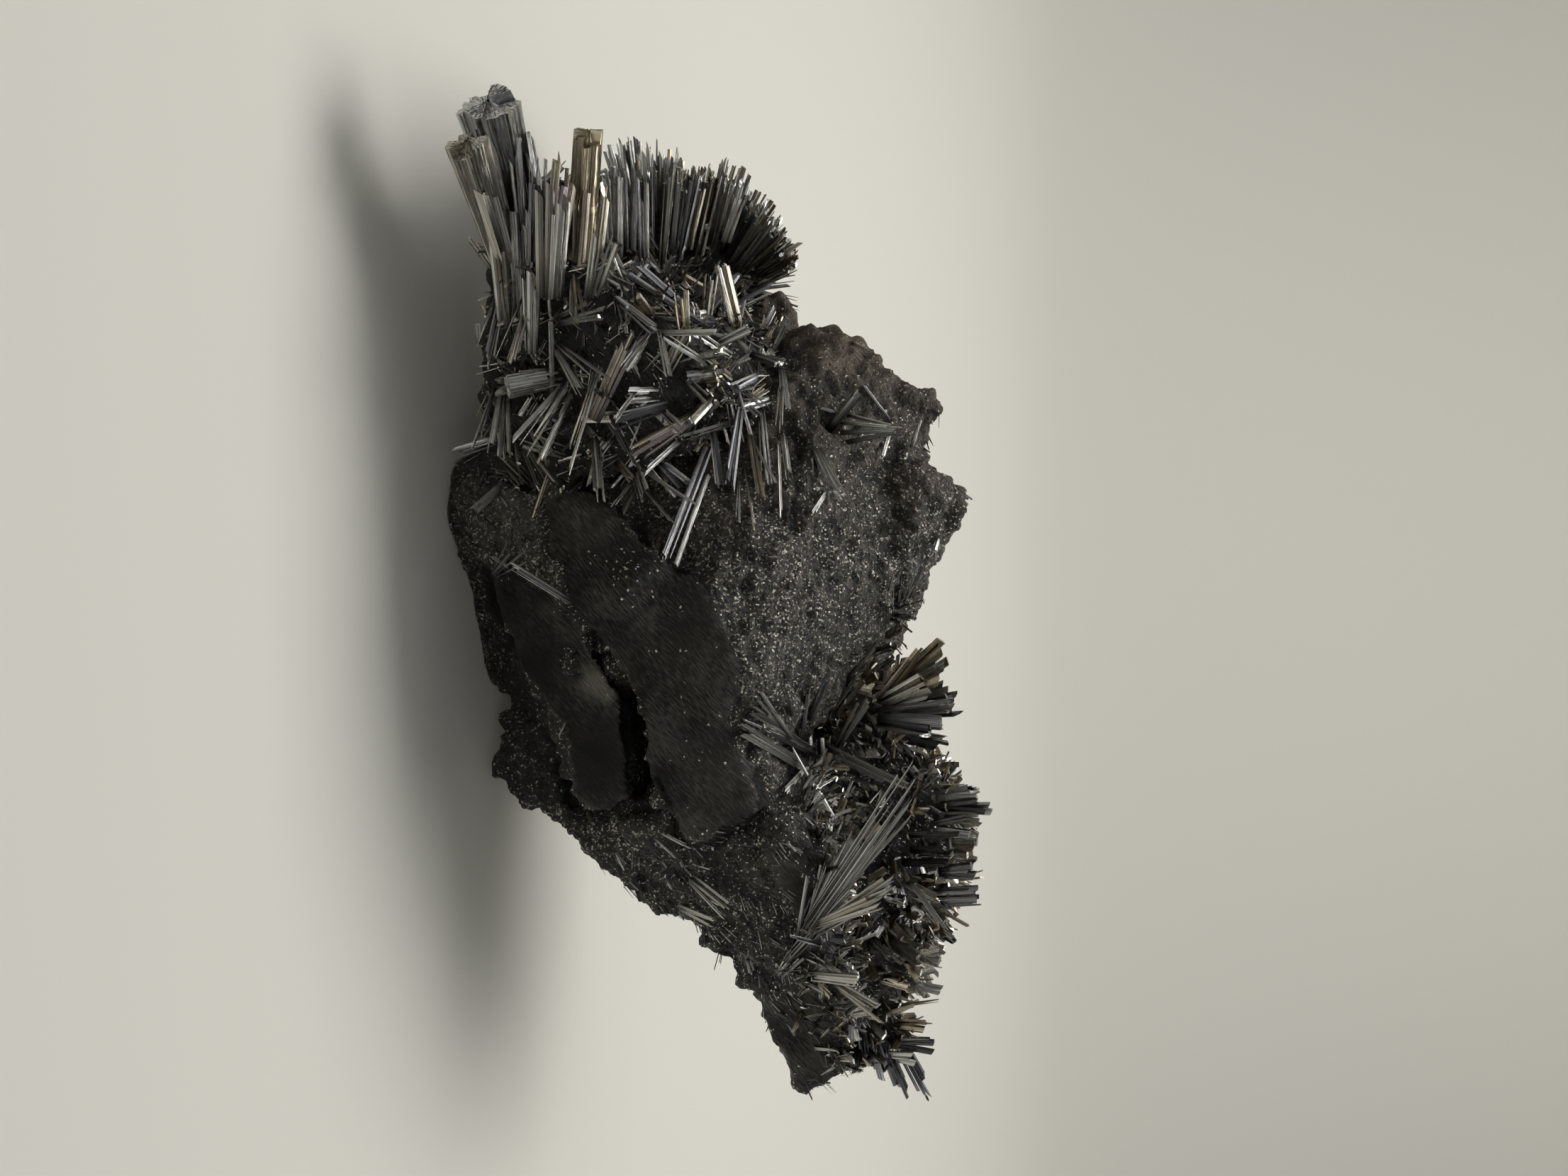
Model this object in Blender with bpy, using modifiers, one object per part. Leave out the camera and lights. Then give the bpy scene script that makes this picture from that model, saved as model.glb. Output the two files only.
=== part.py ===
"""A zinkenite crystal cluster, 12 cm long: a dark sulphide rock with two crusts on its front, and the
metallic crystals that grew on it. Metres, +Z up, with the origin under the middle of the specimen."""

import math
import random
from collections import namedtuple

import bmesh
import bpy
from mathutils import Matrix, Vector, noise
from mathutils.bvhtree import BVHTree

MM = 0.001

# The visible side is laid out as it looks from one standpoint in front of the specimen.
STANDPOINT_DISTANCE = 256.0
STANDPOINT_TILT = math.radians(18.0)
SIGHT_HEIGHT = 38.0

# Rock
ROCK_GRAIN = 0.9  # size of the cells that the blocks of rock are fused with, in mm
ROCK_LUMP = 1.1  # height of the lumps, in mm
ROCK_LUMP_SIZE = 9.0
ROCK_LUMP_NOISE = (0.8, 2.1, 3)  # how fast finer layers fade, how much finer each is, and how many
ROCK_PIT = 0.45
ROCK_PIT_SIZE = 2.6
ROCK_PIT_NOISE = (0.9, 2.0, 2)
ROCK_PIT_SHIFT = Vector((7.3, 1.9, 4.1))  # so that the pits don't repeat the lumps
ROCK_TRIANGLES = 3300
CLEARANCE = 0.45  # left between a crystal group and what it sits on, in mm

# Crystals
SEED = 11
SUNK = 1.5  # how far a crystal's root goes into the body that it grows from, in mm
SUNK_IN_ROSETTE = 0.7
CRYSTAL_SIDES = 4
PRISM_SIDES = 6
ROOT_SHARE = 0.8  # width of a crystal's root, as a share of its width at the tip
PRISM_SLANT = 0.25  # how steeply a prism's end is cut off
PRISM_TURN = 0.4  # turn of a prism about its own length, in radians
FAN_START = 0.3  # where a crystal of a fan begins, as a share of the way from the fan's centre
LIFTS = 7  # how often a crystal is tilted away from the rock before it is left out
LIFT_SHARE = 0.12  # sideways move of the tip at each tilt, as a share of the crystal's length
FAN_WIDTH = 3.0

# root and tip: (across, up), as seen from the standpoint. nearer: how much closer than the root the tip
# is, in mm. spread: half-angle in degrees. bed: how far apart the roots are, in mm.
Spray = namedtuple("Spray", "root tip nearer spread bed count width")

# heart: the point (across, up, depth) that the crystals point away from. spacing: square mm for each.
Tufts = namedtuple("Tufts", "heart spacing length width")

# root, tip (across, up, depth), radius at the root, radius at the tip, flatness
PRISMS = {
    "prism_rear": ((-41.0, -30.6, -21.0), (-57.2, -35.0, -33.0), 2.4, 3.7, 0.95),
    "prism_front": ((-37.5, -32.6, -25.5), (-52.9, -37.2, -36.0), 1.8, 3.2, 0.8),
    "prism_upper": ((-33.5, -24.2, -21.0), (-53.9, -22.9, -28.0), 2.2, 2.0, 0.8),
    "prism_stub": ((-24.5, -28.4, -20.0), (-23.6, -32.5, -25.0), 1.3, 1.4, 0.85),
}

STEEL_GREY = (0.13, 0.135, 0.13)
BRONZE_GREY = (0.15, 0.125, 0.10)
ROCK_BLACK = (0.035, 0.034, 0.032)


def seen(across, up, depth):
    """The point that shows `across` and `up` mm from the sight line and lies `depth` mm behind it."""
    sine, cosine = math.sin(STANDPOINT_TILT), math.cos(STANDPOINT_TILT)
    right_slope, up_slope = across / STANDPOINT_DISTANCE, up / STANDPOINT_DISTANCE
    reach = STANDPOINT_DISTANCE + depth * cosine
    height = (up_slope * reach - depth * sine) / (cosine + up_slope * sine)
    return Vector((right_slope * (reach - height * sine), depth, SIGHT_HEIGHT + height))


def at(x, y, z):
    return Vector((x, y, z))


def clear_scene():
    for obj in list(bpy.data.objects):
        bpy.data.objects.remove(obj)


def collection(name, helper=False):
    made = bpy.data.collections.new(name)
    made.hide_render = helper
    bpy.context.scene.collection.children.link(made)
    return made


def material(name, colour, roughness, metallic):
    made = bpy.data.materials.new(name)
    made.use_nodes = True
    surface = made.node_tree.nodes["Principled BSDF"]
    surface.inputs["Base Color"].default_value = (*colour, 1.0)
    surface.inputs["Roughness"].default_value = roughness
    surface.inputs["Metallic"].default_value = metallic
    return made


def new_object(name, mesh, home):
    obj = bpy.data.objects.new(name, mesh)
    home.objects.link(obj)
    return obj


def mesh_from(shape, name):
    """Turns a bmesh in millimetres into a mesh in metres."""
    bmesh.ops.scale(shape, vec=(MM, MM, MM), verts=shape.verts)
    bmesh.ops.recalc_face_normals(shape, faces=shape.faces)
    mesh = bpy.data.meshes.new(name)
    shape.to_mesh(mesh)
    shape.free()
    return mesh


def evaluated(obj):
    """A plain copy of the object's mesh with its modifiers applied."""
    graph = bpy.context.evaluated_depsgraph_get()
    graph.update()
    return bpy.data.meshes.new_from_object(obj.evaluated_get(graph))


def apply_modifiers(obj):
    mesh = evaluated(obj)
    obj.modifiers.clear()
    obj.data = mesh


# Rock
def add_block(shape, corners):
    """Adds the convex block that has these corners."""
    added = [shape.verts.new(corner) for corner in corners]
    result = bmesh.ops.convex_hull(shape, input=added)
    left = result["geom_interior"] + result["geom_unused"]
    spare = {v for v in left if isinstance(v, bmesh.types.BMVert)}
    bmesh.ops.delete(shape, geom=list(spare), context="VERTS")


def heart_block():
    """The body of the rock, with the druse slope on its front."""
    return [
        seen(-21.0, 15.5, 6), seen(-13.0, 18.2, 10), seen(-7.5, 19.8, 12), seen(3.5, 14.5, 14),
        seen(-30.0, 5.0, -2), seen(-17.0, 3.0, -10), seen(-11.0, -12.0, -18), seen(0.0, -8.0, -20),
        seen(10.0, -4.5, -20), seen(21.0, -2.5, -14), at(-12, -8, 3), at(-8, -9, 3),
        at(11, -3, 3), at(20, -4, 8), at(24, 4, 8), at(-20, 18, 6), at(12, 26, 6),
        at(-28, 14, 40), at(-10, 30, 44), at(12, 30, 40), at(24, 20, 34),
    ]


def crown_block():
    """The knob on top of the rock."""
    return [
        seen(-15.0, 14.0, 2), seen(-13.4, 19.2, 7), seen(-11.8, 21.4, 8), seen(-8.2, 22.0, 8),
        seen(-6.2, 20.2, 8), seen(-4.0, 14.0, 2), seen(-12.0, 20.4, 15), seen(-7.0, 20.4, 15),
        seen(-16.0, 10.0, 14), seen(-2.0, 10.0, 14),
    ]


def shoulder_block():
    """The lower left shoulder, behind the left crystals."""
    return [
        seen(-31.0, 7.4, 0), seen(-31.4, 3.2, 0), seen(-27.8, 9.8, 4), seen(-24.8, 12.8, 5),
        seen(-22.6, 15.4, 6), seen(-20.0, 0.0, -10), seen(-29.5, 0.0, -3), at(-31, 10, 34),
        at(-27, 16, 24), at(-15, 10, 20),
    ]


def left_summit_block():
    """The low summit at the upper left, behind the upper rosette."""
    return [
        seen(-24.6, 12.6, 5), seen(-22.2, 17.8, 7), seen(-20.8, 18.6, 8), seen(-19.2, 18.2, 8),
        seen(-17.0, 15.8, 7), seen(-20.0, 12.0, 2), seen(-22.0, 14.0, 16), seen(-18.0, 14.0, 16),
    ]


def outcrop_block():
    """The small block that stands between the left fan and the rock."""
    return [
        seen(-35.5, -3.0, 6), seen(-35.0, 1.2, 7), seen(-31.4, 1.4, 8), seen(-30.5, -4.0, 5),
        at(-35, 12, 30), at(-28, 14, 32), at(-26, 8, 24),
    ]


def foot_block():
    """The underside, which reaches the floor."""
    return [
        at(-15, -8, -1.5), at(-9, -9, -1.5), at(0, -2, -1.5), at(12, 0, -1.5), at(13, 18, -1.5),
        at(2, 25, -1.5), at(-16, 21, -1.5), at(-20, -8, 14), at(18, -4, 14), at(20, 24, 16), at(-24, 20, 16),
    ]


def corner_block():
    """The lower front corner under the left end of the upper crust."""
    return [
        seen(-13.5, -38.6, -10), seen(-7.6, -38.8, -11), seen(-4.0, -35.8, -12), seen(-14.5, -34.0, -14),
        seen(-12.0, -24.0, -21), seen(-4.0, -26.0, -21), at(-14, -10, -1.5), at(-8, -11, -1.5),
        at(-15, -6, -1.5), at(-4, -6, -1.5), at(-6, -6, 14),
    ]


def upper_crust_blocks():
    """The smooth crust: a lobe at the lower left, a broad middle and a rounded lobe at the right."""
    lobe = [
        seen(-12.0, -24.5, -21), seen(-12.3, -26.5, -20), seen(-11.0, -28.5, -18.5),
        seen(-4.6, -28.6, -19.5), seen(-2.7, -26.3, -20.5), seen(-10.2, -21.5, -22),
        seen(-7.4, -18.0, -23), seen(1.0, -17.0, -25), seen(2.2, -25.0, -21.5),
        seen(-8.0, -20.0, -12), seen(0.0, -20.0, -12),
    ]
    middle = [
        seen(-7.4, -18.2, -23), seen(-4.2, -14.8, -23), seen(-0.6, -9.4, -22), seen(6.3, -6.2, -21),
        seen(11.0, -5.6, -20), seen(15.0, -7.5, -20), seen(14.5, -17.2, -21.5), seen(12.4, -18.3, -21.8),
        seen(9.2, -20.1, -22.3), seen(6.2, -23.0, -22.3), seen(2.2, -25.3, -21.5), seen(0.0, -15.0, -12),
        seen(12.0, -12.0, -12),
    ]
    end = [
        seen(11.0, -7.0, -20), seen(16.6, -7.0, -19), seen(20.0, -4.6, -18), seen(24.8, -1.8, -16),
        seen(27.2, -2.5, -15), seen(28.0, -4.8, -15), seen(29.6, -9.0, -14.5), seen(29.3, -12.2, -14.5),
        seen(23.7, -15.6, -17), seen(19.8, -16.5, -19), seen(14.2, -17.0, -21.5), seen(16.0, -8.0, -10),
        seen(24.0, -6.0, -8), seen(26.0, -12.0, -8),
    ]
    return [lobe, middle, end]


def lower_crust_block():
    """The second crust, below the crack."""
    return [
        seen(-3.3, -35.6, -12.5), seen(-0.7, -35.2, -12.5), seen(-1.7, -31.9, -16), seen(0.3, -28.5, -18.5),
        seen(-4.4, -29.2, -17), seen(-2.6, -27.0, -19), seen(2.6, -25.6, -19.8), seen(7.9, -22.8, -20),
        seen(12.5, -19.9, -20), seen(13.8, -18.4, -19.8), seen(15.8, -17.9, -19.5),
        seen(22.1, -18.3, -17), seen(24.5, -17.8, -16), seen(27.2, -22.0, -13.5),
        seen(26.7, -23.0, -13), seen(22.7, -24.5, -13), seen(15.8, -25.3, -14.5), seen(12.8, -28.4, -13),
        seen(7.2, -31.6, -12.5), seen(3.9, -33.2, -12), at(-2, -2, 6), at(16, 0, 14),
    ]


def wing_blocks():
    """The right half of the rock, which rises off the floor, and the thin plate at its end."""
    root = [
        seen(22.0, -3.0, -12), seen(27.0, -9.0, -11), seen(28.0, -18.0, -11), seen(32.6, -21.6, -2),
        seen(28.6, -25.6, -4), seen(37.0, -17.2, 0), seen(38.6, -15.6, 0), seen(39.5, -12.2, 1),
        seen(36.0, 4.0, -8), seen(18.0, 6.0, 2), seen(28.0, 9.0, 4),
        at(22, 24, 30), at(40, 22, 36), at(20, 26, 44), at(16, 4, 14),
    ]
    reach = [
        seen(30.0, 1.0, -10), seen(40.0, -11.0, 2), seen(42.4, -9.2, 3), seen(45.6, -6.8, 4),
        seen(48.1, -3.9, 4), seen(40.0, 4.0, -5), seen(50.0, 7.0, 3), seen(54.0, 4.0, 8),
        seen(34.0, 11.0, 6), seen(50.0, 11.0, 12), at(36, 24, 38), at(52, 22, 44), at(34, 18, 30),
    ]
    plate = [
        seen(45.5, -4.6, 5), seen(49.4, -1.8, 7), seen(55.4, -0.4, 9), seen(59.8, 1.8, 11),
        seen(59.2, 4.0, 11), seen(56.8, 5.8, 9), seen(56.8, 9.0, 9), seen(50.0, 8.0, 7),
        seen(48.0, -1.0, 15), seen(57.0, 4.0, 15), seen(54.0, 8.0, 15),
    ]
    return [root, reach, plate]


def heel_blocks():
    """The jagged lower right corner, clear of the floor."""
    heel = [
        seen(22.3, -35.2, -5), seen(24.4, -33.6, -5), seen(25.0, -29.2, -4), seen(17.1, -32.6, -5),
        seen(27.0, -26.6, -4), seen(28.6, -25.8, -3), seen(14.0, -28.0, -8), at(22, 6, 12), at(12, 4, 8),
    ]
    knob = [
        seen(14.1, -32.8, -4), seen(14.9, -34.8, -3), seen(17.2, -34.4, -3), seen(15.6, -29.0, -6),
        at(15, 4, 8), at(17, 2, 9),
    ]
    return [heel, knob]


def roughened(point, normal):
    """Lifts the rock's surface into lumps, with finer pits between them."""
    lump = noise.fractal(point / ROCK_LUMP_SIZE, *ROCK_LUMP_NOISE)
    pit = noise.fractal(point / ROCK_PIT_SIZE + ROCK_PIT_SHIFT, *ROCK_PIT_NOISE)
    return point + normal * (ROCK_LUMP * lump + ROCK_PIT * pit)


def make_rock(home, finish):
    shape = bmesh.new()
    blocks = [heart_block(), crown_block(), shoulder_block(), left_summit_block(), outcrop_block()]
    blocks += [foot_block(), corner_block(), lower_crust_block()]
    blocks += upper_crust_blocks() + wing_blocks() + heel_blocks()
    for block in blocks:
        add_block(shape, block)
    rock = new_object("matrix_rock", mesh_from(shape, "matrix_rock"), home)
    rock.data.materials.append(finish)
    fuse = rock.modifiers.new("fuse", "REMESH")
    fuse.mode = "VOXEL"
    fuse.voxel_size = ROCK_GRAIN * MM
    soften = rock.modifiers.new("soften", "SMOOTH")
    soften.iterations = 2
    apply_modifiers(rock)
    normals = [v.normal.copy() for v in rock.data.vertices]
    for vertex, normal in zip(rock.data.vertices, normals):
        vertex.co = roughened(vertex.co / MM, normal) * MM
    thin = rock.modifiers.new("thin", "DECIMATE")
    thin.ratio = ROCK_TRIANGLES / len(rock.data.polygons) / 2
    apply_modifiers(rock)
    level_underside(rock)
    return rock


def level_underside(obj):
    """Cuts the object off flat at the floor, so that it rests on real faces."""
    shape = bmesh.new()
    shape.from_mesh(obj.data)
    geometry = shape.verts[:] + shape.edges[:] + shape.faces[:]
    floor = {"plane_co": (0, 0, 0), "plane_no": (0, 0, -1)}
    cut = bmesh.ops.bisect_plane(shape, geom=geometry, clear_outer=True, **floor)
    rim = [e for e in cut["geom_cut"] if isinstance(e, bmesh.types.BMEdge)]
    bmesh.ops.holes_fill(shape, edges=rim, sides=0)
    bmesh.ops.triangulate(shape, faces=shape.faces)
    bmesh.ops.recalc_face_normals(shape, faces=shape.faces)
    shape.to_mesh(obj.data)
    shape.free()


# Crystals
def add_crystal(shape, root, tip, root_radius, tip_radius, sides, flat, slant, turn):
    """Adds one crystal between two points. `flat` thins it, and `slant` cuts its end off askew."""
    axis = (tip - root).normalized()
    place = Matrix.Translation((root + tip) / 2) @ axis.to_track_quat("Z", "Y").to_matrix().to_4x4()
    place = place @ Matrix.Rotation(turn, 4, "Z") @ Matrix.Diagonal((1, flat, 1, 1))
    made = bmesh.ops.create_cone(
        shape, cap_ends=True, segments=sides, radius1=root_radius, radius2=tip_radius,
        depth=(tip - root).length, matrix=place,
    )
    across = (place.to_3x3() @ Vector((1, 0, 0))).normalized()
    for vertex in made["verts"]:
        if (vertex.co - tip).dot(axis) > -0.001:
            vertex.co += axis * slant * (vertex.co - tip).dot(across)


def surface_tree(meshes):
    """A search tree over several meshes, in millimetres."""
    points, faces = [], []
    for mesh in meshes:
        first = len(points)
        points += [v.co / MM for v in mesh.vertices]
        faces += [[first + i for i in face.vertices] for face in mesh.polygons]
    return BVHTree.FromPolygons(points, faces)


def on_surface(tree, across, up):
    """The first point of the surface that shows there from the standpoint."""
    sine, cosine = math.sin(STANDPOINT_TILT), math.cos(STANDPOINT_TILT)
    eye = Vector((0, -cosine, sine)) * STANDPOINT_DISTANCE + Vector((0, 0, SIGHT_HEIGHT))
    hit = tree.ray_cast(eye, (seen(across, up, 0) - eye).normalized())[0]
    return hit if hit else seen(across, up, 0)


def perpendicular(axis, angle):
    side = axis.orthogonal().normalized()
    return side * math.cos(angle) + axis.cross(side).normalized() * math.sin(angle)


def spray_crystals(spray, tree, dice, sunk):
    """The crystals of one spray, as the numbers that crystal_mesh takes."""
    root = on_surface(tree, *spray.root)
    tip = seen(*spray.tip, root.y - spray.nearer)
    axis = (tip - root).normalized()
    found = []
    for number in range(spray.count):
        sideways = perpendicular(axis, dice.uniform(0, math.tau))
        lean = math.tan(math.radians(spray.spread)) * (number > 0) * dice.uniform(0.3, 1.0)
        direction = (axis + sideways * lean).normalized()
        aside = perpendicular(axis, dice.uniform(0, math.tau))
        start = root + aside * spray.bed * dice.random() * (number > 0)
        length = (tip - root).length * (1.0 if number == 0 else dice.uniform(0.7, 1.0))
        found.append((start - direction * sunk, start + direction * length, spray.width))
    return found


def fan_crystals(centre, arc, rows, dice):
    """A comb of crystals from one centre to the points of an arc, in several rows one behind another."""
    found = []
    for depth, reach, root_depth in rows:
        root = seen(*centre, root_depth)
        for across, up in arc:
            tip = seen(across, up, depth)
            tip = root + (tip - root) * reach * dice.uniform(0.94, 1.02)
            start = root + (tip - root) * FAN_START
            found.append((start, tip, FAN_WIDTH * dice.uniform(0.8, 1.15)))
    return found


def tuft_crystals(mesh, tufts, dice):
    """Short crystals all over a core, which mostly point away from its heart."""
    found, owed = [], 0.0
    for face in mesh.polygons:
        corners = [mesh.vertices[i].co / MM for i in face.vertices]
        area = face.area / MM**2
        owed += area / tufts.spacing
        while owed > 0.5:
            owed -= 1.0
            weights = [dice.uniform(0.1, 1.0) for _ in corners]
            point = sum((c * w for c, w in zip(corners, weights)), Vector()) / sum(weights)
            away = (point - seen(*tufts.heart)).normalized() + face.normal * 0.7
            away += perpendicular(away.normalized(), dice.uniform(0, math.tau)) * dice.uniform(0.2, 0.9)
            direction = away.normalized()
            reach = tufts.length * dice.uniform(0.6, 1.15)
            width = tufts.width * dice.uniform(0.75, 1.3)
            found.append((point - direction * SUNK, point + direction * reach, width))
    return found


def crystal_mesh(crystals, kept_from, dice, name):
    """One mesh of crystals that stay clear of what `kept_from` holds. One that would touch it is lifted."""
    shape = bmesh.new()
    for root, tip, width in crystals:
        flat, slant, turn = dice.uniform(0.35, 0.6), dice.uniform(-0.5, 0.5), dice.uniform(0, math.tau)
        wide = width / 2 * dice.uniform(0.9, 1.1)
        thin = wide * ROOT_SHARE
        lift = kept_from.find_nearest(root)[1] * (tip - root).length * LIFT_SHARE
        for _ in range(LIFTS):
            probe = bmesh.new()
            around = (thin + CLEARANCE, wide + CLEARANCE, CRYSTAL_SIDES, max(flat, 0.6))
            add_crystal(probe, root, tip, *around, slant, turn)
            touches = kept_from.overlap(BVHTree.FromBMesh(probe))
            probe.free()
            if not touches and not is_inside(kept_from, tip):
                add_crystal(shape, root, tip, thin, wide, CRYSTAL_SIDES, flat, slant, turn)
                break
            tip = root + (tip + lift - root).normalized() * (tip - root).length
    return mesh_from(shape, name)


def is_inside(tree, point):
    near, normal, _, _ = tree.find_nearest(point)
    return (point - near).dot(normal) < 0


def core_mesh(blocks, name, swell=0.0):
    """The convex blocks of a core, each pushed outwards by `swell` mm."""
    shape = bmesh.new()
    for block in blocks:
        part = bmesh.new()
        add_block(part, block)
        bmesh.ops.recalc_face_normals(part, faces=part.faces)
        part.normal_update()
        moves = [(v, v.normal * swell * v.calc_shell_factor()) for v in part.verts]
        for vertex, move in moves:
            vertex.co += move
        held = bpy.data.meshes.new("block")
        part.to_mesh(held)
        part.free()
        shape.from_mesh(held)
        bpy.data.meshes.remove(held)
    return mesh_from(shape, name)


def boolean(obj, operation, other):
    step = obj.modifiers.new(operation.lower(), "BOOLEAN")
    step.operation = operation
    step.solver = "EXACT"
    step.use_self = True
    step.object = other
    return step


def keep_largest(obj):
    """Removes the loose bits that a cut leaves."""
    shape = bmesh.new()
    shape.from_mesh(obj.data)
    islands, left = [], set(shape.verts)
    while left:
        reached, edge = set(), [left.pop()]
        while edge:
            vertex = edge.pop()
            reached.add(vertex)
            for link in vertex.link_edges:
                other = link.other_vert(vertex)
                if other in left:
                    left.discard(other)
                    edge.append(other)
        islands.append(reached)
    islands.sort(key=len)
    for island in islands[:-1]:
        bmesh.ops.delete(shape, geom=list(island), context="VERTS")
    bmesh.ops.triangulate(shape, faces=shape.faces)
    shape.to_mesh(obj.data)
    shape.free()


def left_core():
    """The body of the left thicket, that of its fan, and the shelf that carries the stout prisms."""
    body = [
        seen(-11.5, -30.0, -17), seen(-13.5, -36.0, -15), seen(-22.0, -35.2, -18), seen(-30.0, -36.0, -22),
        seen(-38.0, -35.0, -24), seen(-38.0, -24.0, -26), seen(-30.0, -12.0, -23), seen(-20.0, -4.0, -15),
        seen(-13.0, -17.0, -20), seen(-30.0, -1.0, -6), seen(-37.0, -12.0, -10), at(-38, 2, 22),
        at(-30, 12, 28), at(-18, 10, 14), at(-34, 0, 12),
    ]
    fan = [
        seen(-48.5, -8.5, -6), seen(-49.5, -18.0, -9), seen(-43.0, -4.0, -3), seen(-38.5, -2.5, -1),
        seen(-34.0, -6.0, -6), seen(-36.0, -16.0, -16), seen(-48.5, -21.0, -14), seen(-36.0, -24.0, -18),
        at(-44, 8, 24), at(-38, 12, 30), at(-42, 4, 20), at(-32, 10, 26),
    ]
    shelf = [
        seen(-50.2, -25.2, -24), seen(-50.2, -28.6, -25), seen(-46.0, -31.5, -26), seen(-37.0, -33.0, -25),
        seen(-36.0, -24.5, -25), seen(-48.0, -25.0, -13), seen(-42.0, -31.0, -10), seen(-36.0, -22.0, -8),
    ]
    return [body, fan, shelf]


def right_core():
    """The body of the right thicket, behind the rock's right half."""
    near = [
        seen(10.0, 8.0, 3), seen(12.0, 13.0, 5), seen(17.0, 15.0, 7), seen(22.0, 15.0, 9),
        seen(24.0, 6.0, 2), seen(15.0, 5.0, 0),
        at(10, 25, 48), at(22, 26, 48), at(20, 22, 40), at(14, 8, 38),
    ]
    far = [
        seen(20.4, 16.5, 7), seen(24.0, 20.6, 9), seen(26.4, 21.6, 9), seen(32.0, 20.6, 10),
        seen(38.0, 19.6, 11), seen(45.0, 15.4, 12), seen(52.0, 13.0, 12), seen(54.5, 8.0, 11),
        seen(40.0, 7.0, 1), seen(22.0, 5.0, 1), at(20, 27, 49), at(28, 27, 54), at(38, 28, 53),
        at(52, 24, 47), at(34, 26, 40),
    ]
    end = [
        seen(48.0, 14.5, 12), seen(55.0, 14.5, 12), seen(57.0, 12.0, 12), seen(55.6, 7.5, 11),
        seen(47.0, 7.0, 7),
        at(50, 24, 46), at(54, 20, 44),
    ]
    return [near, far, end]


LEFT_FAN_CENTRE = (-35.3, -12.0)
LEFT_FAN_ARC = [
    (-35.2, 1.2), (-38.6, 1.2), (-41.2, 1.6), (-44.0, -0.6), (-47.6, -3.0), (-50.8, -5.6), (-49.8, -9.6),
    (-52.2, -12.8), (-53.0, -17.0), (-52.2, -20.6),
]
LEFT_FAN_ROWS = [(-15.0, 0.95, -10.0), (-6.0, 1.0, -5.0), (4.0, 0.97, 2.0), (13.0, 0.85, 8.0)]
RIGHT_FAN_CENTRE = (14.5, 4.0)
RIGHT_FAN_ARC = [
    (5.6, 14.8), (6.0, 19.2), (9.0, 19.6), (12.0, 21.0), (14.2, 21.2), (18.4, 20.0), (21.0, 17.5),
]
RIGHT_FAN_ROWS = [(0.0, 0.88, 0.0), (6.0, 1.0, 4.0), (14.0, 0.96, 12.0)]

LEFT_SPRAYS = [
    Spray((-19.4, -23.2), (-30.2, -17.1), 2, 5, 1.0, 3, 3.0),
    Spray((-20.3, -9.8), (-13.6, -16.8), 2, 6, 0.8, 3, 2.8),
    Spray((-33.4, -5.5), (-38.4, -7.4), 3, 4, 0.4, 2, 1.8),
    Spray((-38.0, -17.0), (-32.0, -9.6), 4, 9, 0.3, 2, 1.6),
    Spray((-29.5, -33.0), (-31.5, -37.4), 2, 12, 0.8, 3, 1.6),
    Spray((-39.0, -27.0), (-50.0, -26.6), 0, 4, 1.2, 3, 2.4),
]
RIGHT_SPRAYS = [
    Spray((25.6, 18.0), (25.0, 24.0), 0, 14, 2.0, 6, 2.0),
    Spray((30.5, 18.0), (30.8, 21.8), 0, 14, 2.4, 5, 1.8),
    Spray((36.5, 17.5), (37.2, 23.2), -1, 9, 1.0, 3, 2.2),
    Spray((42.0, 15.0), (43.0, 19.0), 0, 16, 2.4, 5, 1.8),
    Spray((49.0, 14.0), (50.4, 17.6), 0, 16, 2.0, 4, 1.8),
    Spray((49.0, 11.2), (60.0, 15.8), -1, 2, 1.4, 5, 2.8),
    Spray((51.0, 9.0), (58.6, 12.6), 0, 6, 1.2, 4, 2.6),
    Spray((38.0, 9.5), (27.0, 14.5), 5, 9, 1.5, 4, 2.0),
    Spray((20.5, 14.0), (22.0, 20.4), 0, 14, 1.4, 3, 1.8),
]
MIDDLE_SPRAYS = [
    Spray((18.3, 2.6), (6.4, 11.3), 6, 5, 0.4, 2, 1.2),
    Spray((18.3, 2.6), (10.2, 5.3), 8, 8, 0.4, 2, 1.6),
    Spray((19.0, 4.0), (15.2, -5.4), 12, 7, 0.4, 3, 1.4),
    Spray((19.5, 5.0), (22.2, 12.0), 5, 3, 0.4, 2, 1.8),
]
UPPER_ROSETTE = [
    Spray((-18.8, 5.4), (-18.8, 13.4), 3, 12, 0.4, 6, 1.3),
    Spray((-18.8, 5.4), (-23.0, 9.0), 4, 6, 0.3, 2, 1.3),
]
LOWER_ROSETTE = [
    Spray((-15.8, 3.8), (-9.8, 7.4), 4, 10, 0.4, 5, 1.2),
    Spray((-15.0, 4.2), (-8.6, 3.2), 5, 8, 0.3, 3, 1.2),
]
RIDGE_ROW = [
    Spray((-0.5, 13.6), (-3.0, 17.4), 3, 14, 1.2, 5, 1.2),
    Spray((3.0, 12.0), (4.6, 14.8), 3, 14, 1.2, 4, 1.2),
]
LEFT_TUFTS = Tufts((-30.0, -16.0, -4.0), 120, 5.0, 2.0)
RIGHT_TUFTS = Tufts((34.0, 6.0, 12.0), 90, 4.5, 2.0)

# the small lumps that the rosettes and the ridge row grow from: across, up, radius
LUMPS = {
    "middle_spray": [(18.6, 3.4, 2.2)],
    "rosette_upper": [(-18.8, 5.2, 1.3)],
    "rosette_lower": [(-15.4, 4.0, 1.2)],
    "ridge_row": [(-0.5, 13.8, 1.6), (1.4, 13.0, 1.6), (3.0, 12.2, 1.5)],
}


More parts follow.
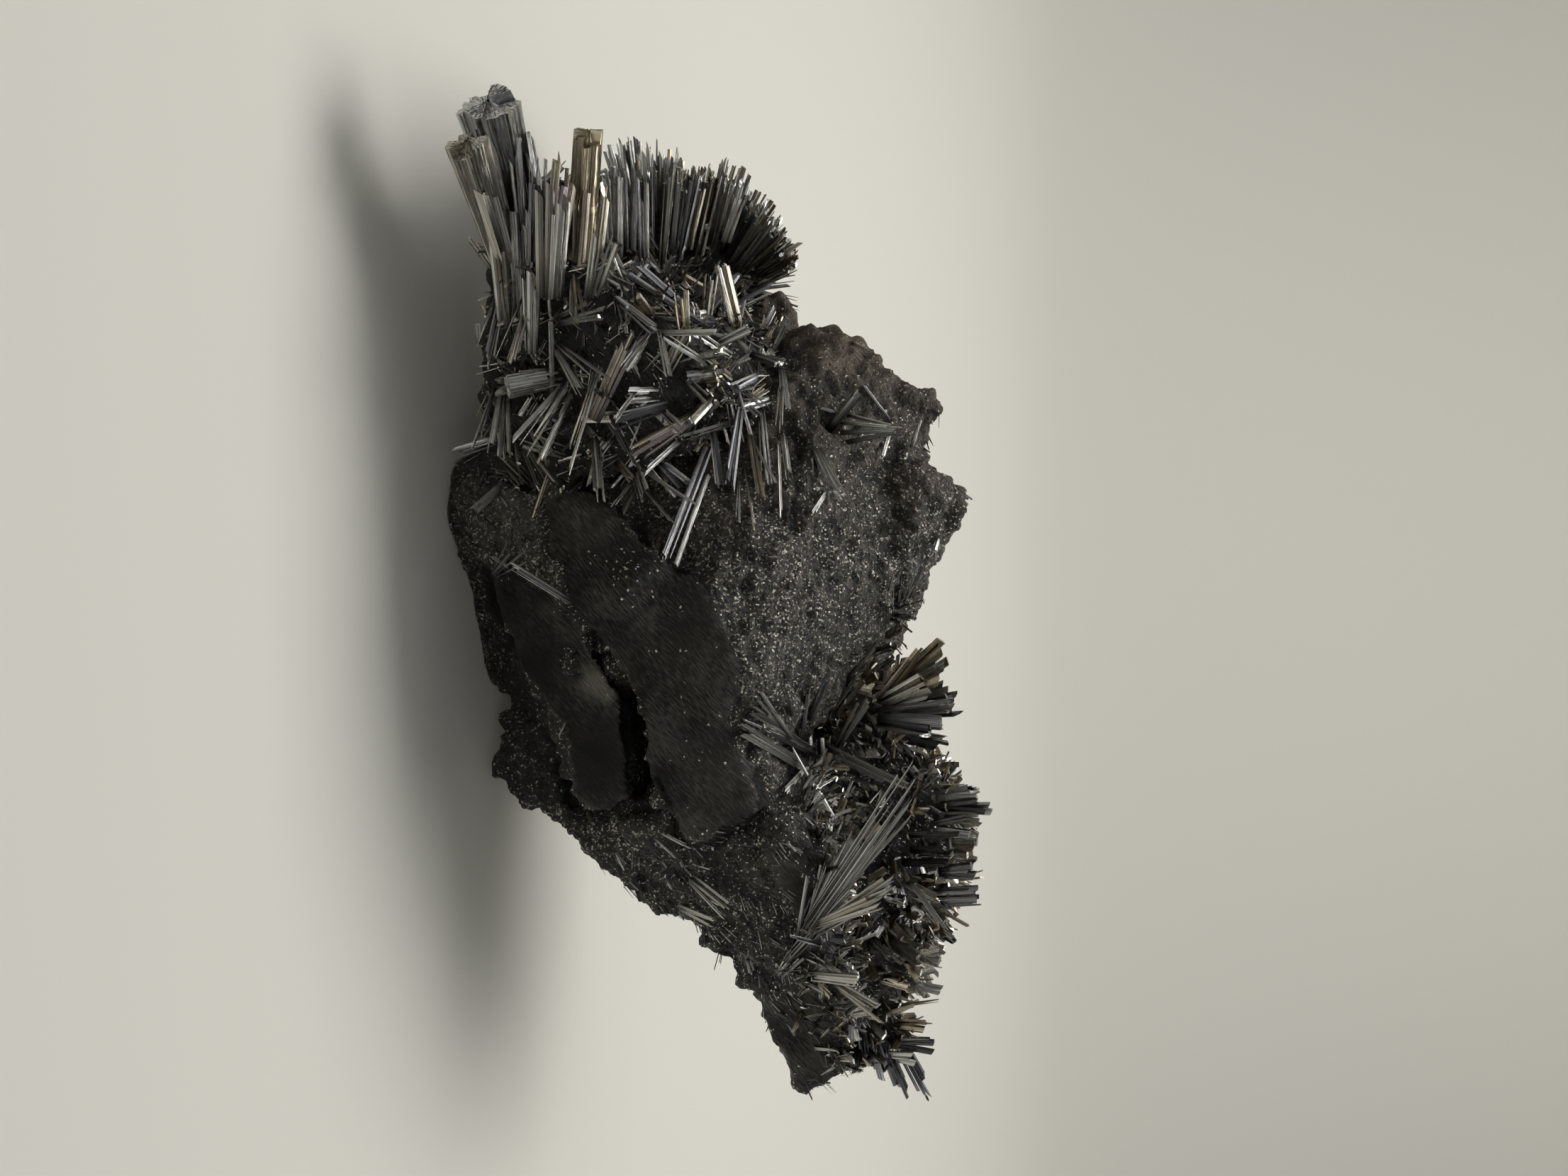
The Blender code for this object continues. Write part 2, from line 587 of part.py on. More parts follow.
def rosette_base(tree, across, up, radius):
    """The corners of the small lump that a rosette grows from, half sunk in the rock."""
    point = on_surface(tree, across, up)
    centre = point + tree.find_nearest(point)[1] * radius * 0.5
    shape = bmesh.new()
    bmesh.ops.create_icosphere(shape, subdivisions=1, radius=radius)
    corners = [centre + v.co for v in shape.verts]
    shape.free()
    return corners


def centre_on_origin(home):
    """Moves the whole specimen sideways, so that the middle of its bounding box is over the origin."""
    points = [v.co for obj in home.objects for v in obj.data.vertices]
    for axis in (0, 1):
        middle = (min(p[axis] for p in points) + max(p[axis] for p in points)) / 2
        for obj in home.objects:
            obj.location[axis] = -middle


def prism_pair(name):
    """A prism's mesh, and a swollen one that keeps its neighbours clear of it."""
    root, tip, root_radius, tip_radius, flat = PRISMS[name]
    pair = []
    for swell in (0.0, CLEARANCE):
        shape = bmesh.new()
        sizes = (root_radius + swell, tip_radius + swell, PRISM_SIDES, flat, PRISM_SLANT, PRISM_TURN)
        add_crystal(shape, seen(*root), seen(*tip), *sizes)
        pair.append(mesh_from(shape, name))
    return pair


def main():
    clear_scene()
    dice = random.Random(SEED)
    specimen, helpers = collection("zinkenite_cluster"), collection("helpers", helper=True)
    rock_finish = material("rock", ROCK_BLACK, 0.75, 0.1)
    steel = material("zinkenite", STEEL_GREY, 0.35, 0.9)
    bronze = material("tarnished_zinkenite", BRONZE_GREY, 0.35, 0.9)

    rock = make_rock(specimen, rock_finish)
    bare = surface_tree([rock.data])
    cores = {"left_thicket": left_core(), "right_thicket": right_core()}
    for name, lumps in LUMPS.items():
        cores[name] = [rosette_base(bare, *lump) for lump in lumps]
    sockets = core_mesh([block for blocks in cores.values() for block in blocks], "sockets", CLEARANCE)
    cutter = new_object("socket_cutter", sockets, helpers)
    cutter.display_type = "WIRE"
    boolean(rock, "DIFFERENCE", cutter)
    apply_modifiers(rock)
    keep_largest(rock)

    core_meshes = {name: core_mesh(blocks, name) for name, blocks in cores.items()}
    prisms = {name: prism_pair(name) for name in PRISMS}
    swollen = [pair[1] for pair in prisms.values()]
    visible = surface_tree([rock.data] + list(core_meshes.values()))

    def sprays(table, sunk):
        return [crystal for spray in table for crystal in spray_crystals(spray, visible, dice, sunk)]

    grown = {
        "left_thicket": fan_crystals(LEFT_FAN_CENTRE, LEFT_FAN_ARC, LEFT_FAN_ROWS, dice)
        + sprays(LEFT_SPRAYS, SUNK) + tuft_crystals(core_meshes["left_thicket"], LEFT_TUFTS, dice),
        "right_thicket": fan_crystals(RIGHT_FAN_CENTRE, RIGHT_FAN_ARC, RIGHT_FAN_ROWS, dice)
        + sprays(RIGHT_SPRAYS, SUNK) + tuft_crystals(core_meshes["right_thicket"], RIGHT_TUFTS, dice),
        "middle_spray": sprays(MIDDLE_SPRAYS, SUNK_IN_ROSETTE),
        "rosette_upper": sprays(UPPER_ROSETTE, SUNK_IN_ROSETTE),
        "rosette_lower": sprays(LOWER_ROSETTE, SUNK_IN_ROSETTE),
        "ridge_row": sprays(RIDGE_ROW, SUNK_IN_ROSETTE),
    }
    done = []
    for name, crystals in grown.items():
        others = [mesh for other, mesh in core_meshes.items() if other != name]
        kept_from = surface_tree([rock.data] + others + done + swollen)
        blades = new_object(name + "_blades", crystal_mesh(crystals, kept_from, dice, name), helpers)
        group = new_object(name, core_meshes[name], specimen)
        group.data.materials.append(steel)
        boolean(group, "UNION", blades)
        apply_modifiers(group)
        if name == "left_thicket":
            for mesh in swollen:
                boolean(group, "DIFFERENCE", new_object("prism_socket", mesh, helpers))
            apply_modifiers(group)
        keep_largest(group)
        done.append(group.data)
    for name, (plain, _) in prisms.items():
        prism = new_object(name, plain, specimen)
        prism.data.materials.append(bronze)
        if name == "prism_rear":
            boolean(prism, "DIFFERENCE", new_object("prism_gap", prisms["prism_front"][1], helpers))
            apply_modifiers(prism)
    centre_on_origin(specimen)


if __name__ == "__main__":
    main()
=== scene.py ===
# %% [markdown]
# # A zinkenite crystal cluster
# The specimen is a dark rock, about 12 cm long, with metallic crystals on it. The rock has a rough slope
# that glitters, two smooth crusts and a crack between them. At both ends stand thickets of thin striated
# crystals in fans and sheaves, and three stout prisms stick out at the lower left. The solids give each of
# these its place. This script gives them their surface: a fine mesh for the rock, and thousands of
# crystals that Geometry Nodes grow from short tables.

# %% Load the solids
import math
from collections import namedtuple

import bmesh
import bpy
import numpy as np
from mathutils import Matrix, Vector, noise
from mathutils.bvhtree import BVHTree


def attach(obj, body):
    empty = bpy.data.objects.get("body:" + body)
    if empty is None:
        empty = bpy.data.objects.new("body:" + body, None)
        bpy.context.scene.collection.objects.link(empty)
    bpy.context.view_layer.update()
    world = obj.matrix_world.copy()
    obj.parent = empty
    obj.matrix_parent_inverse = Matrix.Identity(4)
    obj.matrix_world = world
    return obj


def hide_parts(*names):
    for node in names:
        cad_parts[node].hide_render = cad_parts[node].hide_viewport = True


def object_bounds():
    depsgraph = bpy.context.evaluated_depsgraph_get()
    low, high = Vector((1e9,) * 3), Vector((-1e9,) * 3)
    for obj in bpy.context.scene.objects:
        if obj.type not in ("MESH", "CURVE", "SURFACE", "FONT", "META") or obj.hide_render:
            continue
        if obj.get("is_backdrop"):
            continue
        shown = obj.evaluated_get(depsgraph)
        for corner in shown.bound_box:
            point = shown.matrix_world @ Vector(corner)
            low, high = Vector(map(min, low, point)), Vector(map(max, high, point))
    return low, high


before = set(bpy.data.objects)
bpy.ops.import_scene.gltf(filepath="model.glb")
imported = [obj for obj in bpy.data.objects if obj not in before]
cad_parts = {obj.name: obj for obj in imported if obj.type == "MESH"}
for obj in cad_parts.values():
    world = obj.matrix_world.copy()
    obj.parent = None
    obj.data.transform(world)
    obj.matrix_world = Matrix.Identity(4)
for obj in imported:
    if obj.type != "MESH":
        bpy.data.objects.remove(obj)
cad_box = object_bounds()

MM = 0.001
print("solids:", ", ".join(sorted(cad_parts)))

# %% [markdown]
# ## The standpoint
# The picture was taken from 256 mm away, looking down by 18 degrees, with the camera turned a quarter on
# its side: the picture's left edge is the floor. Places on the visible side are given as they look from
# there: millimetres across and up from the sight line. `seen` turns such a pair and a depth into a point,
# and `on_surface` finds the depth by sending a ray to the specimen.

# %% Standpoint and camera
DISTANCE = 256.0
TILT = math.radians(18.0)
MIDDLE = Vector((-4.04, 3.74, 38.0))  # the point that the sight line goes through, in mm
RIGHT = Vector((1, 0, 0))
UP = Vector((0, math.sin(TILT), math.cos(TILT)))
BACK = RIGHT.cross(UP)
EYE = MIDDLE + BACK * DISTANCE


def seen(across, up, depth):
    """The point, in mm, that shows `across` and `up` from the sight line and lies `depth` behind it."""
    ray = RIGHT * across + UP * up - BACK * DISTANCE
    return EYE + ray * ((depth + MIDDLE.y - EYE.y) / ray.y)


def at(x, y, z):
    """A point, in mm, given from the floor below the sight line instead of as it looks."""
    return Vector((x + MIDDLE.x, y + MIDDLE.y, z))


def on_surface(tree, across, up):
    """The first point of a surface that shows there, or else below there."""
    for lower in np.arange(0, 12, 0.4):
        sight = RIGHT * across + UP * (up - lower) - BACK * DISTANCE
        hit = tree.ray_cast(EYE, sight.normalized())[0]
        if hit:
            return hit
    return tree.find_nearest(seen(across, up, 0))[0]


def in_front(tree, point):
    """Whether nothing hides a point from the standpoint."""
    sight = point - EYE
    return tree.ray_cast(EYE, sight.normalized(), sight.length - 0.2)[0] is None


camera = bpy.data.objects.new("camera", bpy.data.cameras.new("camera"))
camera.data.sensor_width = 36.0
camera.data.lens = 50.0
camera.data.clip_start = 0.01
bpy.context.scene.view_settings.view_transform = "Standard"  # a metal's glints stay crisp
turned = Matrix((UP, -RIGHT, BACK)).transposed().to_4x4()
camera.matrix_world = Matrix.Translation(EYE * MM) @ turned
bpy.context.scene.collection.objects.link(camera)
bpy.context.scene.camera = camera
print("camera at", [round(v * MM, 3) for v in EYE])

# %% [markdown]
# ## Helpers
# Three small functions serve every piece: one turns a hex colour to the linear values that shaders take,
# one adds a node with its settings and links, and one turns an object's modifiers into plain mesh.


# %% Helpers
def linear(hex_colour):
    """An sRGB hex colour as linear red, green, blue and alpha."""
    parts = [int(hex_colour[i:i + 2], 16) / 255 for i in (1, 3, 5)]
    return (*[p / 12.92 if p <= 0.04045 else ((p + 0.055) / 1.055) ** 2.4 for p in parts], 1.0)


def add(tree, kind, inputs=(), output=None, **settings):
    """Adds a node and returns its named or first output. `inputs` pairs an input's name or number with a
    value, or with the output that feeds it."""
    node = tree.nodes.new(kind)
    for name, value in settings.items():
        setattr(node, name, value)
    for key, value in inputs:
        socket = next(s for i, s in enumerate(node.inputs) if s.enabled and key in (s.name, i))
        if isinstance(value, bpy.types.NodeSocket):
            tree.links.new(value, socket)
        else:
            socket.default_value = value
    return next((s for s in node.outputs if s.enabled and output in (None, s.name)), None)


def plain_mesh(obj):
    """The object's mesh with its modifiers worked in, and the modifiers gone."""
    graph = bpy.context.evaluated_depsgraph_get()
    graph.update()
    mesh = bpy.data.meshes.new_from_object(obj.evaluated_get(graph))
    obj.modifiers.clear()
    return mesh


def new_object(name, mesh):
    obj = bpy.data.objects.new(name, mesh)
    bpy.context.scene.collection.objects.link(obj)
    return obj


def mark(mesh, **values):
    """Keeps numbers on a mesh's points, or vectors where they have three columns."""
    for name, value in values.items():
        kind, key = ("FLOAT_VECTOR", "vector") if np.ndim(value) == 2 else ("FLOAT", "value")
        mesh.attributes.new(name, kind, "POINT").data.foreach_set(key, np.ravel(value).astype(np.float32))


def points_of(mesh):
    points = np.empty(len(mesh.vertices) * 3)
    mesh.vertices.foreach_get("co", points)
    return points.reshape(-1, 3)


def tree_of(*meshes):
    """A search tree over meshes, in mm."""
    points, faces = [], []
    for mesh in meshes:
        first = len(points)
        points += [v.co / MM for v in mesh.vertices]
        faces += [[first + i for i in face.vertices] for face in mesh.polygons]
    return BVHTree.FromPolygons(points, faces)


# %% [markdown]
# ## The rock
# The rock broke out of its vein, so no two of its sides are alike. The slope that faces up is a druse, a
# crust of tiny crystals that looks like felt with glittering specks. The smooth crusts are thin plates of
# fine ore that once lay against another rock. One way would be to paint all this on the solid with bump
# alone, but the outline and the crack would stay plain. So the solid's mesh is remeshed into cells of half
# a millimetre, and each point is moved by noise. Where the point shows from the standpoint decides how:
# an outline drawn for each crust says where the surface stays smooth, and a line is cut in for each crack.

# %% Where the smooth places are
UPPER_CRUST = [
    (-12.5, -25.9), (-10.9, -23.3), (-10.2, -20.7), (-7.4, -18.6), (-5.9, -17.8), (-3.3, -14.4),
    (-2.3, -12.4), (-1.7, -10.1), (-0.3, -9.1), (2.8, -7.6), (6.3, -6.2), (9.0, -5.6), (12.3, -5.2),
    (15.6, -6.8), (18.9, -5.2),
    (21.3, -2.8), (25.4, -1.4), (27.4, -3.6), (27.7, -6.2), (30.3, -7.9), (29.6, -12.0), (26.3, -13.6),
    (23.0, -15.4), (19.8, -16.2), (14.2, -16.7), (12.5, -17.6), (9.2, -19.4), (7.2, -21.6), (5.6, -22.6),
    (2.0, -25.3), (-2.7, -26.3), (-4.6, -28.6), (-10.0, -28.3),
]
LOWER_CRUST = [
    (-3.3, -35.8), (-2.7, -34.2), (-1.7, -31.9), (0.0, -29.2), (0.6, -27.3), (2.6, -25.3), (7.9, -22.8),
    (12.5, -19.9), (14.2, -18.2), (17.6, -17.8), (22.1, -18.2), (24.0, -17.8), (26.4, -19.6),
    (27.1, -22.6), (23.1, -24.6), (19.1, -25.2), (16.2, -25.5), (13.3, -28.1), (8.1, -31.6),
    (4.4, -33.6), (2.6, -34.8), (-0.7, -35.3),
]
WING_PATCH = [(29.9, -2.7), (32.8, 0.9), (34.8, 3.4), (37.7, 4.0), (39.7, 2.2), (34.4, -0.7),
              (30.3, -2.7)]
END_PLATE = [(48.0, 4.5), (56.0, 6.4), (60.5, 3.0), (56.0, -1.4), (49.0, -2.8), (47.0, 0.5)]

# points along each crack or hollow, half its width and its depth, in mm
CRACKS = [
    ([(5.8, -22.8), (9.0, -20.6), (12.0, -18.7), (14.0, -17.3), (17.0, -17.0), (20.0, -16.8),
      (23.4, -17.1)],
     0.55, 4.0),
    ([(22.8, -14.8), (26.3, -13.4), (29.2, -12.2)], 0.25, 0.9),
    ([(-4.6, -28.6), (-2.9, -26.6), (-0.4, -26.0), (2.0, -25.3), (5.4, -22.9)], 0.25, 0.6),
    ([(-10.4, -28.9), (-8.0, -28.2), (-4.9, -28.4)], 0.35, 1.0),
    ([(26.6, -2.0), (28.2, -4.6), (28.4, -6.4), (30.6, -8.6)], 0.4, 0.9),
    ([(-10.3, 1.1), (-8.5, 1.3), (-6.7, 1.4)], 0.35, 0.9),
    ([(-17.8, 1.6), (-15.4, 1.8)], 0.3, 0.8),
]
# a thin pale ridge that the lower crust ends in
PALE_RIDGE = [(27.1, -23.0), (23.1, -24.7), (19.1, -25.2), (16.2, -25.5), (13.3, -28.1), (8.1, -31.6),
              (4.4, -33.4)]
# middle, radius in mm and strength of each patch: those with positive strength are blotches of the
# crust's own colour, those with negative strength are painted shade on the lower crust, the heel and
# by the crack's end
PATCHES = [
    ((11.0, -22.2), 2.6, 1.7), ((3.5, -28.0), 2.0, 0.8), ((25.5, -16.0), 2.2, -1.2),
    ((20.0, -21.5), 5.0, -1.2), ((8.0, -10.0), 5.0, 0.2), ((22.0, -8.0), 4.0, 0.25),
    ((33.6, -1.0), 3.0, 0.3), ((-7.0, -33.0), 4.0, 0.7), ((9.0, -28.0), 5.0, -1.0),
    ((2.0, -32.5), 4.0, -1.0), ((21.0, -29.0), 6.0, -1.1), ((12.0, -36.0), 6.0, -1.1),
    ((-8.0, -23.0), 3.0, 0.3),
]
GLINTS = (-2.0, -18.5)  # the middle of a cluster of glints


def in_picture(points):
    """(across, up) of each point, and how squarely it must face to be seen."""
    reach = np.array(EYE) - points
    distance = reach @ np.array(BACK)
    offset = points - np.array(MIDDLE)
    across = offset @ np.array(RIGHT) * DISTANCE / distance
    up = offset @ np.array(UP) * DISTANCE / distance
    return np.stack([across, up], axis=1), reach / np.linalg.norm(reach, axis=1)[:, None]


def line_distance(places, line):
    """How far each place is from a line through points."""
    best = np.full(len(places), 1e9)
    for start, end in zip(line, line[1:]):
        start, along = np.array(start), np.array(end) - np.array(start)
        share = np.clip((places - start) @ along / (along @ along), 0, 1)
        best = np.minimum(best, np.linalg.norm(places - start - share[:, None] * along, axis=1))
    return best


def inside(places, outline):
    """Whether each place is inside a closed outline."""
    found = np.zeros(len(places), bool)
    x, y = places[:, 0], places[:, 1]
    for (x1, y1), (x2, y2) in zip(outline, outline[1:] + outline[:1]):
        crosses = (y1 > y) != (y2 > y)
        found ^= crosses & (x < (x2 - x1) * (y - y1) / (y2 - y1 if y2 != y1 else 1e-9) + x1)
    return found


def patch(places, outline, border):
    """1 well inside an outline, 0 outside, with a slope as wide as `border` mm."""
    depth = line_distance(places, outline + outline[:1]) * np.where(inside(places, outline), 1, -1)
    return np.clip(depth / border + 0.5, 0, 1)


def along_grain(places):
    """Coordinates along and across the streaks, which run from the lower left to the upper right."""
    line, cross = np.array([0.74, 0.67]), np.array([-0.67, 0.74])
    return np.stack([places @ line, places @ cross, places @ cross * 0], axis=1)


# %% Shape the rock
ROCK_CELL = 0.47  # in mm


def fractal(points, size, octaves, shift):
    """Noise from -1 to 1 whose lumps are `size` mm wide."""
    move = Vector((shift, shift * 0.7, -shift))
    return np.array([noise.fractal(Vector(p) / size + move, 0.9, 2.1, octaves) for p in points])


def pebbles(points, size, shift):
    """Round lumps packed side by side: 1 in the middle of each, 0 between them."""
    move = Vector((shift, -shift, shift * 0.3))
    return np.array([1 - noise.voronoi(Vector(p) / size + move)[0][0] for p in points])


def make_rock():
    shape = bmesh.new()
    shape.from_mesh(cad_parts["matrix_rock"].data)
    bmesh.ops.remove_doubles(shape, verts=shape.verts, dist=1e-6)
    mesh = bpy.data.meshes.new("rock")
    shape.to_mesh(mesh)
    shape.free()
    rock = new_object("matrix_rock_surface", mesh)
    cells = rock.modifiers.new("cells", "REMESH")
    cells.mode = "VOXEL"
    cells.voxel_size = ROCK_CELL * MM
    soften = rock.modifiers.new("soften", "SMOOTH")
    soften.factor = 0.6
    soften.iterations = 6
    rock.data = plain_mesh(rock)
    points = points_of(rock.data) / MM
    normals = np.array([v.normal for v in rock.data.vertices])
    places, toward = in_picture(points)
    faces_us = np.clip((np.sum(normals * toward, axis=1) + 0.05) / 0.2, 0, 1)
    faces_us *= np.clip((points[:, 2] - 1.0) / 1.5, 0, 1)
    waver = fractal(points, 5.0, 2, 3.1)[:, None] * np.array([[0.5, 0.4]])
    crust = np.maximum(patch(places + waver, UPPER_CRUST, 0.7), patch(places + waver, LOWER_CRUST, 0.7))
    smooth = np.maximum(crust, np.maximum(patch(places, WING_PATCH, 1.0),
                                          patch(places, END_PLATE, 1.2))) * faces_us
    wing = np.clip((places[:, 0] - 24 + places[:, 1] * 0.2) / 4, 0, 1) * (1 - smooth)
    slope = faces_us * (1 - smooth) * (1 - wing)
    lift = 0.6 * fractal(points, 5.0, 3, 0.0) * (1 - 0.6 * smooth)
    lift += 0.7 * (pebbles(points, 3.2, 2.0) - 0.5) * (1 - smooth)
    lift += 0.75 * fractal(points, 1.7, 3, 5.0) * (1 - smooth)
    lift += 0.7 * fractal(points, 2.4, 2, 9.0) * (1 - smooth) * (1 - slope)
    lift += 0.10 * fractal(points, 1.2, 2, 4.0) * smooth
    lift += 0.08 * crust * faces_us
    for line, half, depth in CRACKS:
        away = line_distance(places + waver * 0.6, line)
        lift -= depth * np.clip(1.6 - away / half, 0, 1) * np.clip(faces_us * 3, 0, 1)
    on_floor = points[:, 2] < 0.6
    lift[on_floor] = 0.0
    points += normals * lift[:, None]
    points[:, 2] = np.maximum(points[:, 2], 0.0)
    rock.data.vertices.foreach_set("co", (points * MM).ravel())
    # paler blotches along the ridge and in the patches, and painted shade where a patch's strength is
    # negative
    pale = np.exp(-(line_distance(places + waver * 0.3, PALE_RIDGE) / 0.3) ** 2)
    for middle, radius, strength in PATCHES:
        away = np.linalg.norm(places + waver * 2 - np.array(middle), axis=1)
        pale += strength * np.exp(-(away / radius) ** 2)
    glints = np.exp(-(np.linalg.norm(places - np.array(GLINTS), axis=1) / 3.4) ** 2)
    mark(rock.data, smooth=smooth, wing=wing, raised=lift, pale=pale * faces_us, glints=glints,
         grain=along_grain(places))
    rock.data.shade_smooth()
    return rock


rock = make_rock()
print("rock:", len(rock.data.polygons) * 2, "triangles")

# %% [markdown]
# ## The rock's finish
# The rock is fine grained and dark, with a druse that glitters because each tiny face mirrors the light
# its own way. The crusts are satin, with fine streaks that run from the lower left to the upper right.
# A colour for each place would look painted, so the finish mixes its looks by the numbers that the shaping
# left on the points, and the height it left paints shade into the hollows and light onto the raised
# places.
# A cell pattern stands for the druse's tiny crystals: each cell is tilted by chance, and some of them are
# bare metal.

# %% Rock material: fine-grained dark ore, a glittering druse where it is rough and satin where it is crust
rock_finish = bpy.data.materials.new("dark_ore_druse_and_crust")
rock_finish.use_nodes = True
look = rock_finish.node_tree
surface = look.nodes["Principled BSDF"]
place = add(look, "ShaderNodeTexCoord", output="Object")
mm = add(look, "ShaderNodeVectorMath", [(0, place), ("Scale", 1000.0)], operation="SCALE")
smooth = add(look, "ShaderNodeAttribute", output="Fac", attribute_name="smooth")
wing = add(look, "ShaderNodeAttribute", output="Fac", attribute_name="wing")
raised = add(look, "ShaderNodeAttribute", output="Fac", attribute_name="raised")
pale = add(look, "ShaderNodeAttribute", output="Fac", attribute_name="pale")
glints = add(look, "ShaderNodeAttribute", output="Fac", attribute_name="glints")
grain = add(look, "ShaderNodeAttribute", output="Vector", attribute_name="grain")

# the druse's crystals are 0.22 mm wide, the crust's streaks 0.2 by 1.2 mm, the wing's fibres 0.3 by 4 mm
cells = add(look, "ShaderNodeTexVoronoi", [("Vector", mm), ("Scale", 4.6)], output="Color")
felt = add(look, "ShaderNodeTexNoise", [("Vector", mm), ("Scale", 2.2), ("Detail", 4.0),
                                        ("Roughness", 0.65)])
broad = add(look, "ShaderNodeTexNoise", [("Vector", mm), ("Scale", 0.16), ("Detail", 3.0)])
streak_place = add(look, "ShaderNodeVectorMath", [(0, grain), (1, (0.8, 5.0, 1.0))], operation="MULTIPLY")
streaks = add(look, "ShaderNodeTexNoise", [("Vector", streak_place), ("Scale", 1.0), ("Detail", 4.0),
                                           ("Roughness", 0.65)])
fibre_place = add(look, "ShaderNodeVectorMath", [(0, grain), (1, (0.25, 3.2, 1.0))], operation="MULTIPLY")
fibres = add(look, "ShaderNodeTexNoise", [("Vector", fibre_place), ("Scale", 1.0), ("Detail", 3.0),
                                          ("Distortion", 0.6)])

druse_mix = add(look, "ShaderNodeMapRange", [("Value", felt), ("From Min", 0.42), ("From Max", 0.62)])
druse = add(look, "ShaderNodeMix", [("Factor", druse_mix), ("A", linear("#0b0909")),
                                    ("B", linear("#514941"))],
            "Result", data_type="RGBA")
to_left = add(look, "ShaderNodeSeparateXYZ", [("Vector", mm)], output="X")
to_left = add(look, "ShaderNodeMapRange", [("Value", to_left), ("From Min", -8.0), ("From Max", -32.0)])
brown = add(look, "ShaderNodeMath", [(0, to_left), (1, broad)], operation="MULTIPLY")
druse = add(look, "ShaderNodeMix", [("Factor", brown), ("A", druse), ("B", linear("#6a5d4b"))], "Result",
            data_type="RGBA")
mottle = add(look, "ShaderNodeMath", [(0, broad), (1, 0.5), (2, streaks)], operation="MULTIPLY_ADD")
crust_mix = add(look, "ShaderNodeMapRange", [("Value", mottle), ("From Min", 0.7), ("From Max", 0.92)])
crust = add(look, "ShaderNodeMix", [("Factor", crust_mix), ("A", linear("#080808")),
                                    ("B", linear("#504f4b"))],
            "Result", data_type="RGBA")
fibre_mix = add(look, "ShaderNodeMapRange", [("Value", fibres), ("From Min", 0.4), ("From Max", 0.72)])
matted = add(look, "ShaderNodeMix", [("Factor", fibre_mix), ("A", linear("#0c0b0a")),
                                     ("B", linear("#3f3d39"))],
             "Result", data_type="RGBA")
colour = add(look, "ShaderNodeMix", [("Factor", wing), ("A", druse), ("B", matted)], "Result",
             data_type="RGBA")
colour = add(look, "ShaderNodeMix", [("Factor", smooth), ("A", colour), ("B", crust)], "Result",
             data_type="RGBA")
# painted shade and light: the colour is darkened in the hollows and lightened on the raised places
painted_relief_shade = add(look, "ShaderNodeMapRange", [("Value", raised), ("From Min", -0.65), ("From Max", 0.45),
                                          ("To Min", 0.14), ("To Max", 1.35)])
colour = add(look, "ShaderNodeVectorMath", [(0, colour), ("Scale", painted_relief_shade)], operation="SCALE")
paler = add(look, "ShaderNodeMath", [(0, pale), (1, streaks)], operation="MULTIPLY", use_clamp=True)
colour = add(look, "ShaderNodeMix", [("Factor", paler), ("A", colour), ("B", linear("#7d7a6d"))],
             "Result", data_type="RGBA")
# painted shade: the patches with negative strength turn the colour near black
painted_shade_patches = add(look, "ShaderNodeMath", [(0, pale), (1, -0.7)], operation="MULTIPLY", use_clamp=True)
colour = add(look, "ShaderNodeMix", [("Factor", painted_shade_patches), ("A", colour), ("B", linear("#0d0d0c"))],
             "Result", data_type="RGBA")

# some of the druse's cells are metal, fewer at the left, on the wing and under the painted shade, and few
# on the crusts
chance = add(look, "ShaderNodeSeparateColor", [("Color", cells)], output="Red")
uncrusted = add(look, "ShaderNodeMath", [(0, 1.0), (1, smooth)], operation="SUBTRACT", use_clamp=True)
bare = add(look, "ShaderNodeMapRange", [("Value", smooth), ("To Min", 0.85), ("To Max", 0.997)])
rarer = add(look, "ShaderNodeMath", [(0, to_left), (1, 0.14)], operation="MULTIPLY")
bare = add(look, "ShaderNodeMath", [(0, bare), (1, rarer)], operation="ADD")
denser = add(look, "ShaderNodeMapRange", [("Value", felt), ("From Min", 0.35), ("From Max", 0.65),
                                          ("To Min", 0.16), ("To Max", -0.16)])
denser = add(look, "ShaderNodeMath", [(0, denser), (1, uncrusted)], operation="MULTIPLY")
bare = add(look, "ShaderNodeMath", [(0, bare), (1, denser)], operation="ADD")
matt = add(look, "ShaderNodeMath", [(0, wing), (1, 0.6), (2, painted_shade_patches)], operation="MULTIPLY_ADD")
matt = add(look, "ShaderNodeMath", [(0, matt), (1, 0.12), (2, bare)], operation="MULTIPLY_ADD")
bare = add(look, "ShaderNodeMath", [(0, matt), (1, bare)], operation="MAXIMUM")
cluster = add(look, "ShaderNodeMath", [(0, glints), (1, 0.03)], operation="MULTIPLY")
bare = add(look, "ShaderNodeMath", [(0, bare), (1, cluster)], operation="SUBTRACT")
metal = add(look, "ShaderNodeMath", [(0, chance), (1, bare)], operation="GREATER_THAN")
colour = add(look, "ShaderNodeMix", [("Factor", metal), ("A", colour), ("B", linear("#cbc7bb"))],
             "Result", data_type="RGBA")
look.links.new(colour, surface.inputs["Base Color"])
look.links.new(metal, surface.inputs["Metallic"])
shine = add(look, "ShaderNodeMix", [("Factor", smooth), ("A", 0.62), ("B", 0.45)])
shine = add(look, "ShaderNodeMix", [("Factor", metal), ("A", shine), ("B", 0.2)])
look.links.new(shine, surface.inputs["Roughness"])
surface.inputs["IOR"].default_value = 1.6
satin = add(look, "ShaderNodeMix", [("Factor", smooth), ("A", 0.5), ("B", 0.2)])
look.links.new(satin, surface.inputs["Specular IOR Level"])
facing = add(look, "ShaderNodeNewGeometry", output="Normal")
tilt = add(look, "ShaderNodeVectorMath", [(0, cells), (1, (0.5, 0.5, 0.5))], operation="SUBTRACT")
tilt_share = add(look, "ShaderNodeMapRange", [("Value", smooth), ("To Min", 1.2), ("To Max", 0.3)])
tilt = add(look, "ShaderNodeVectorMath", [(0, tilt), ("Scale", tilt_share)], operation="SCALE")
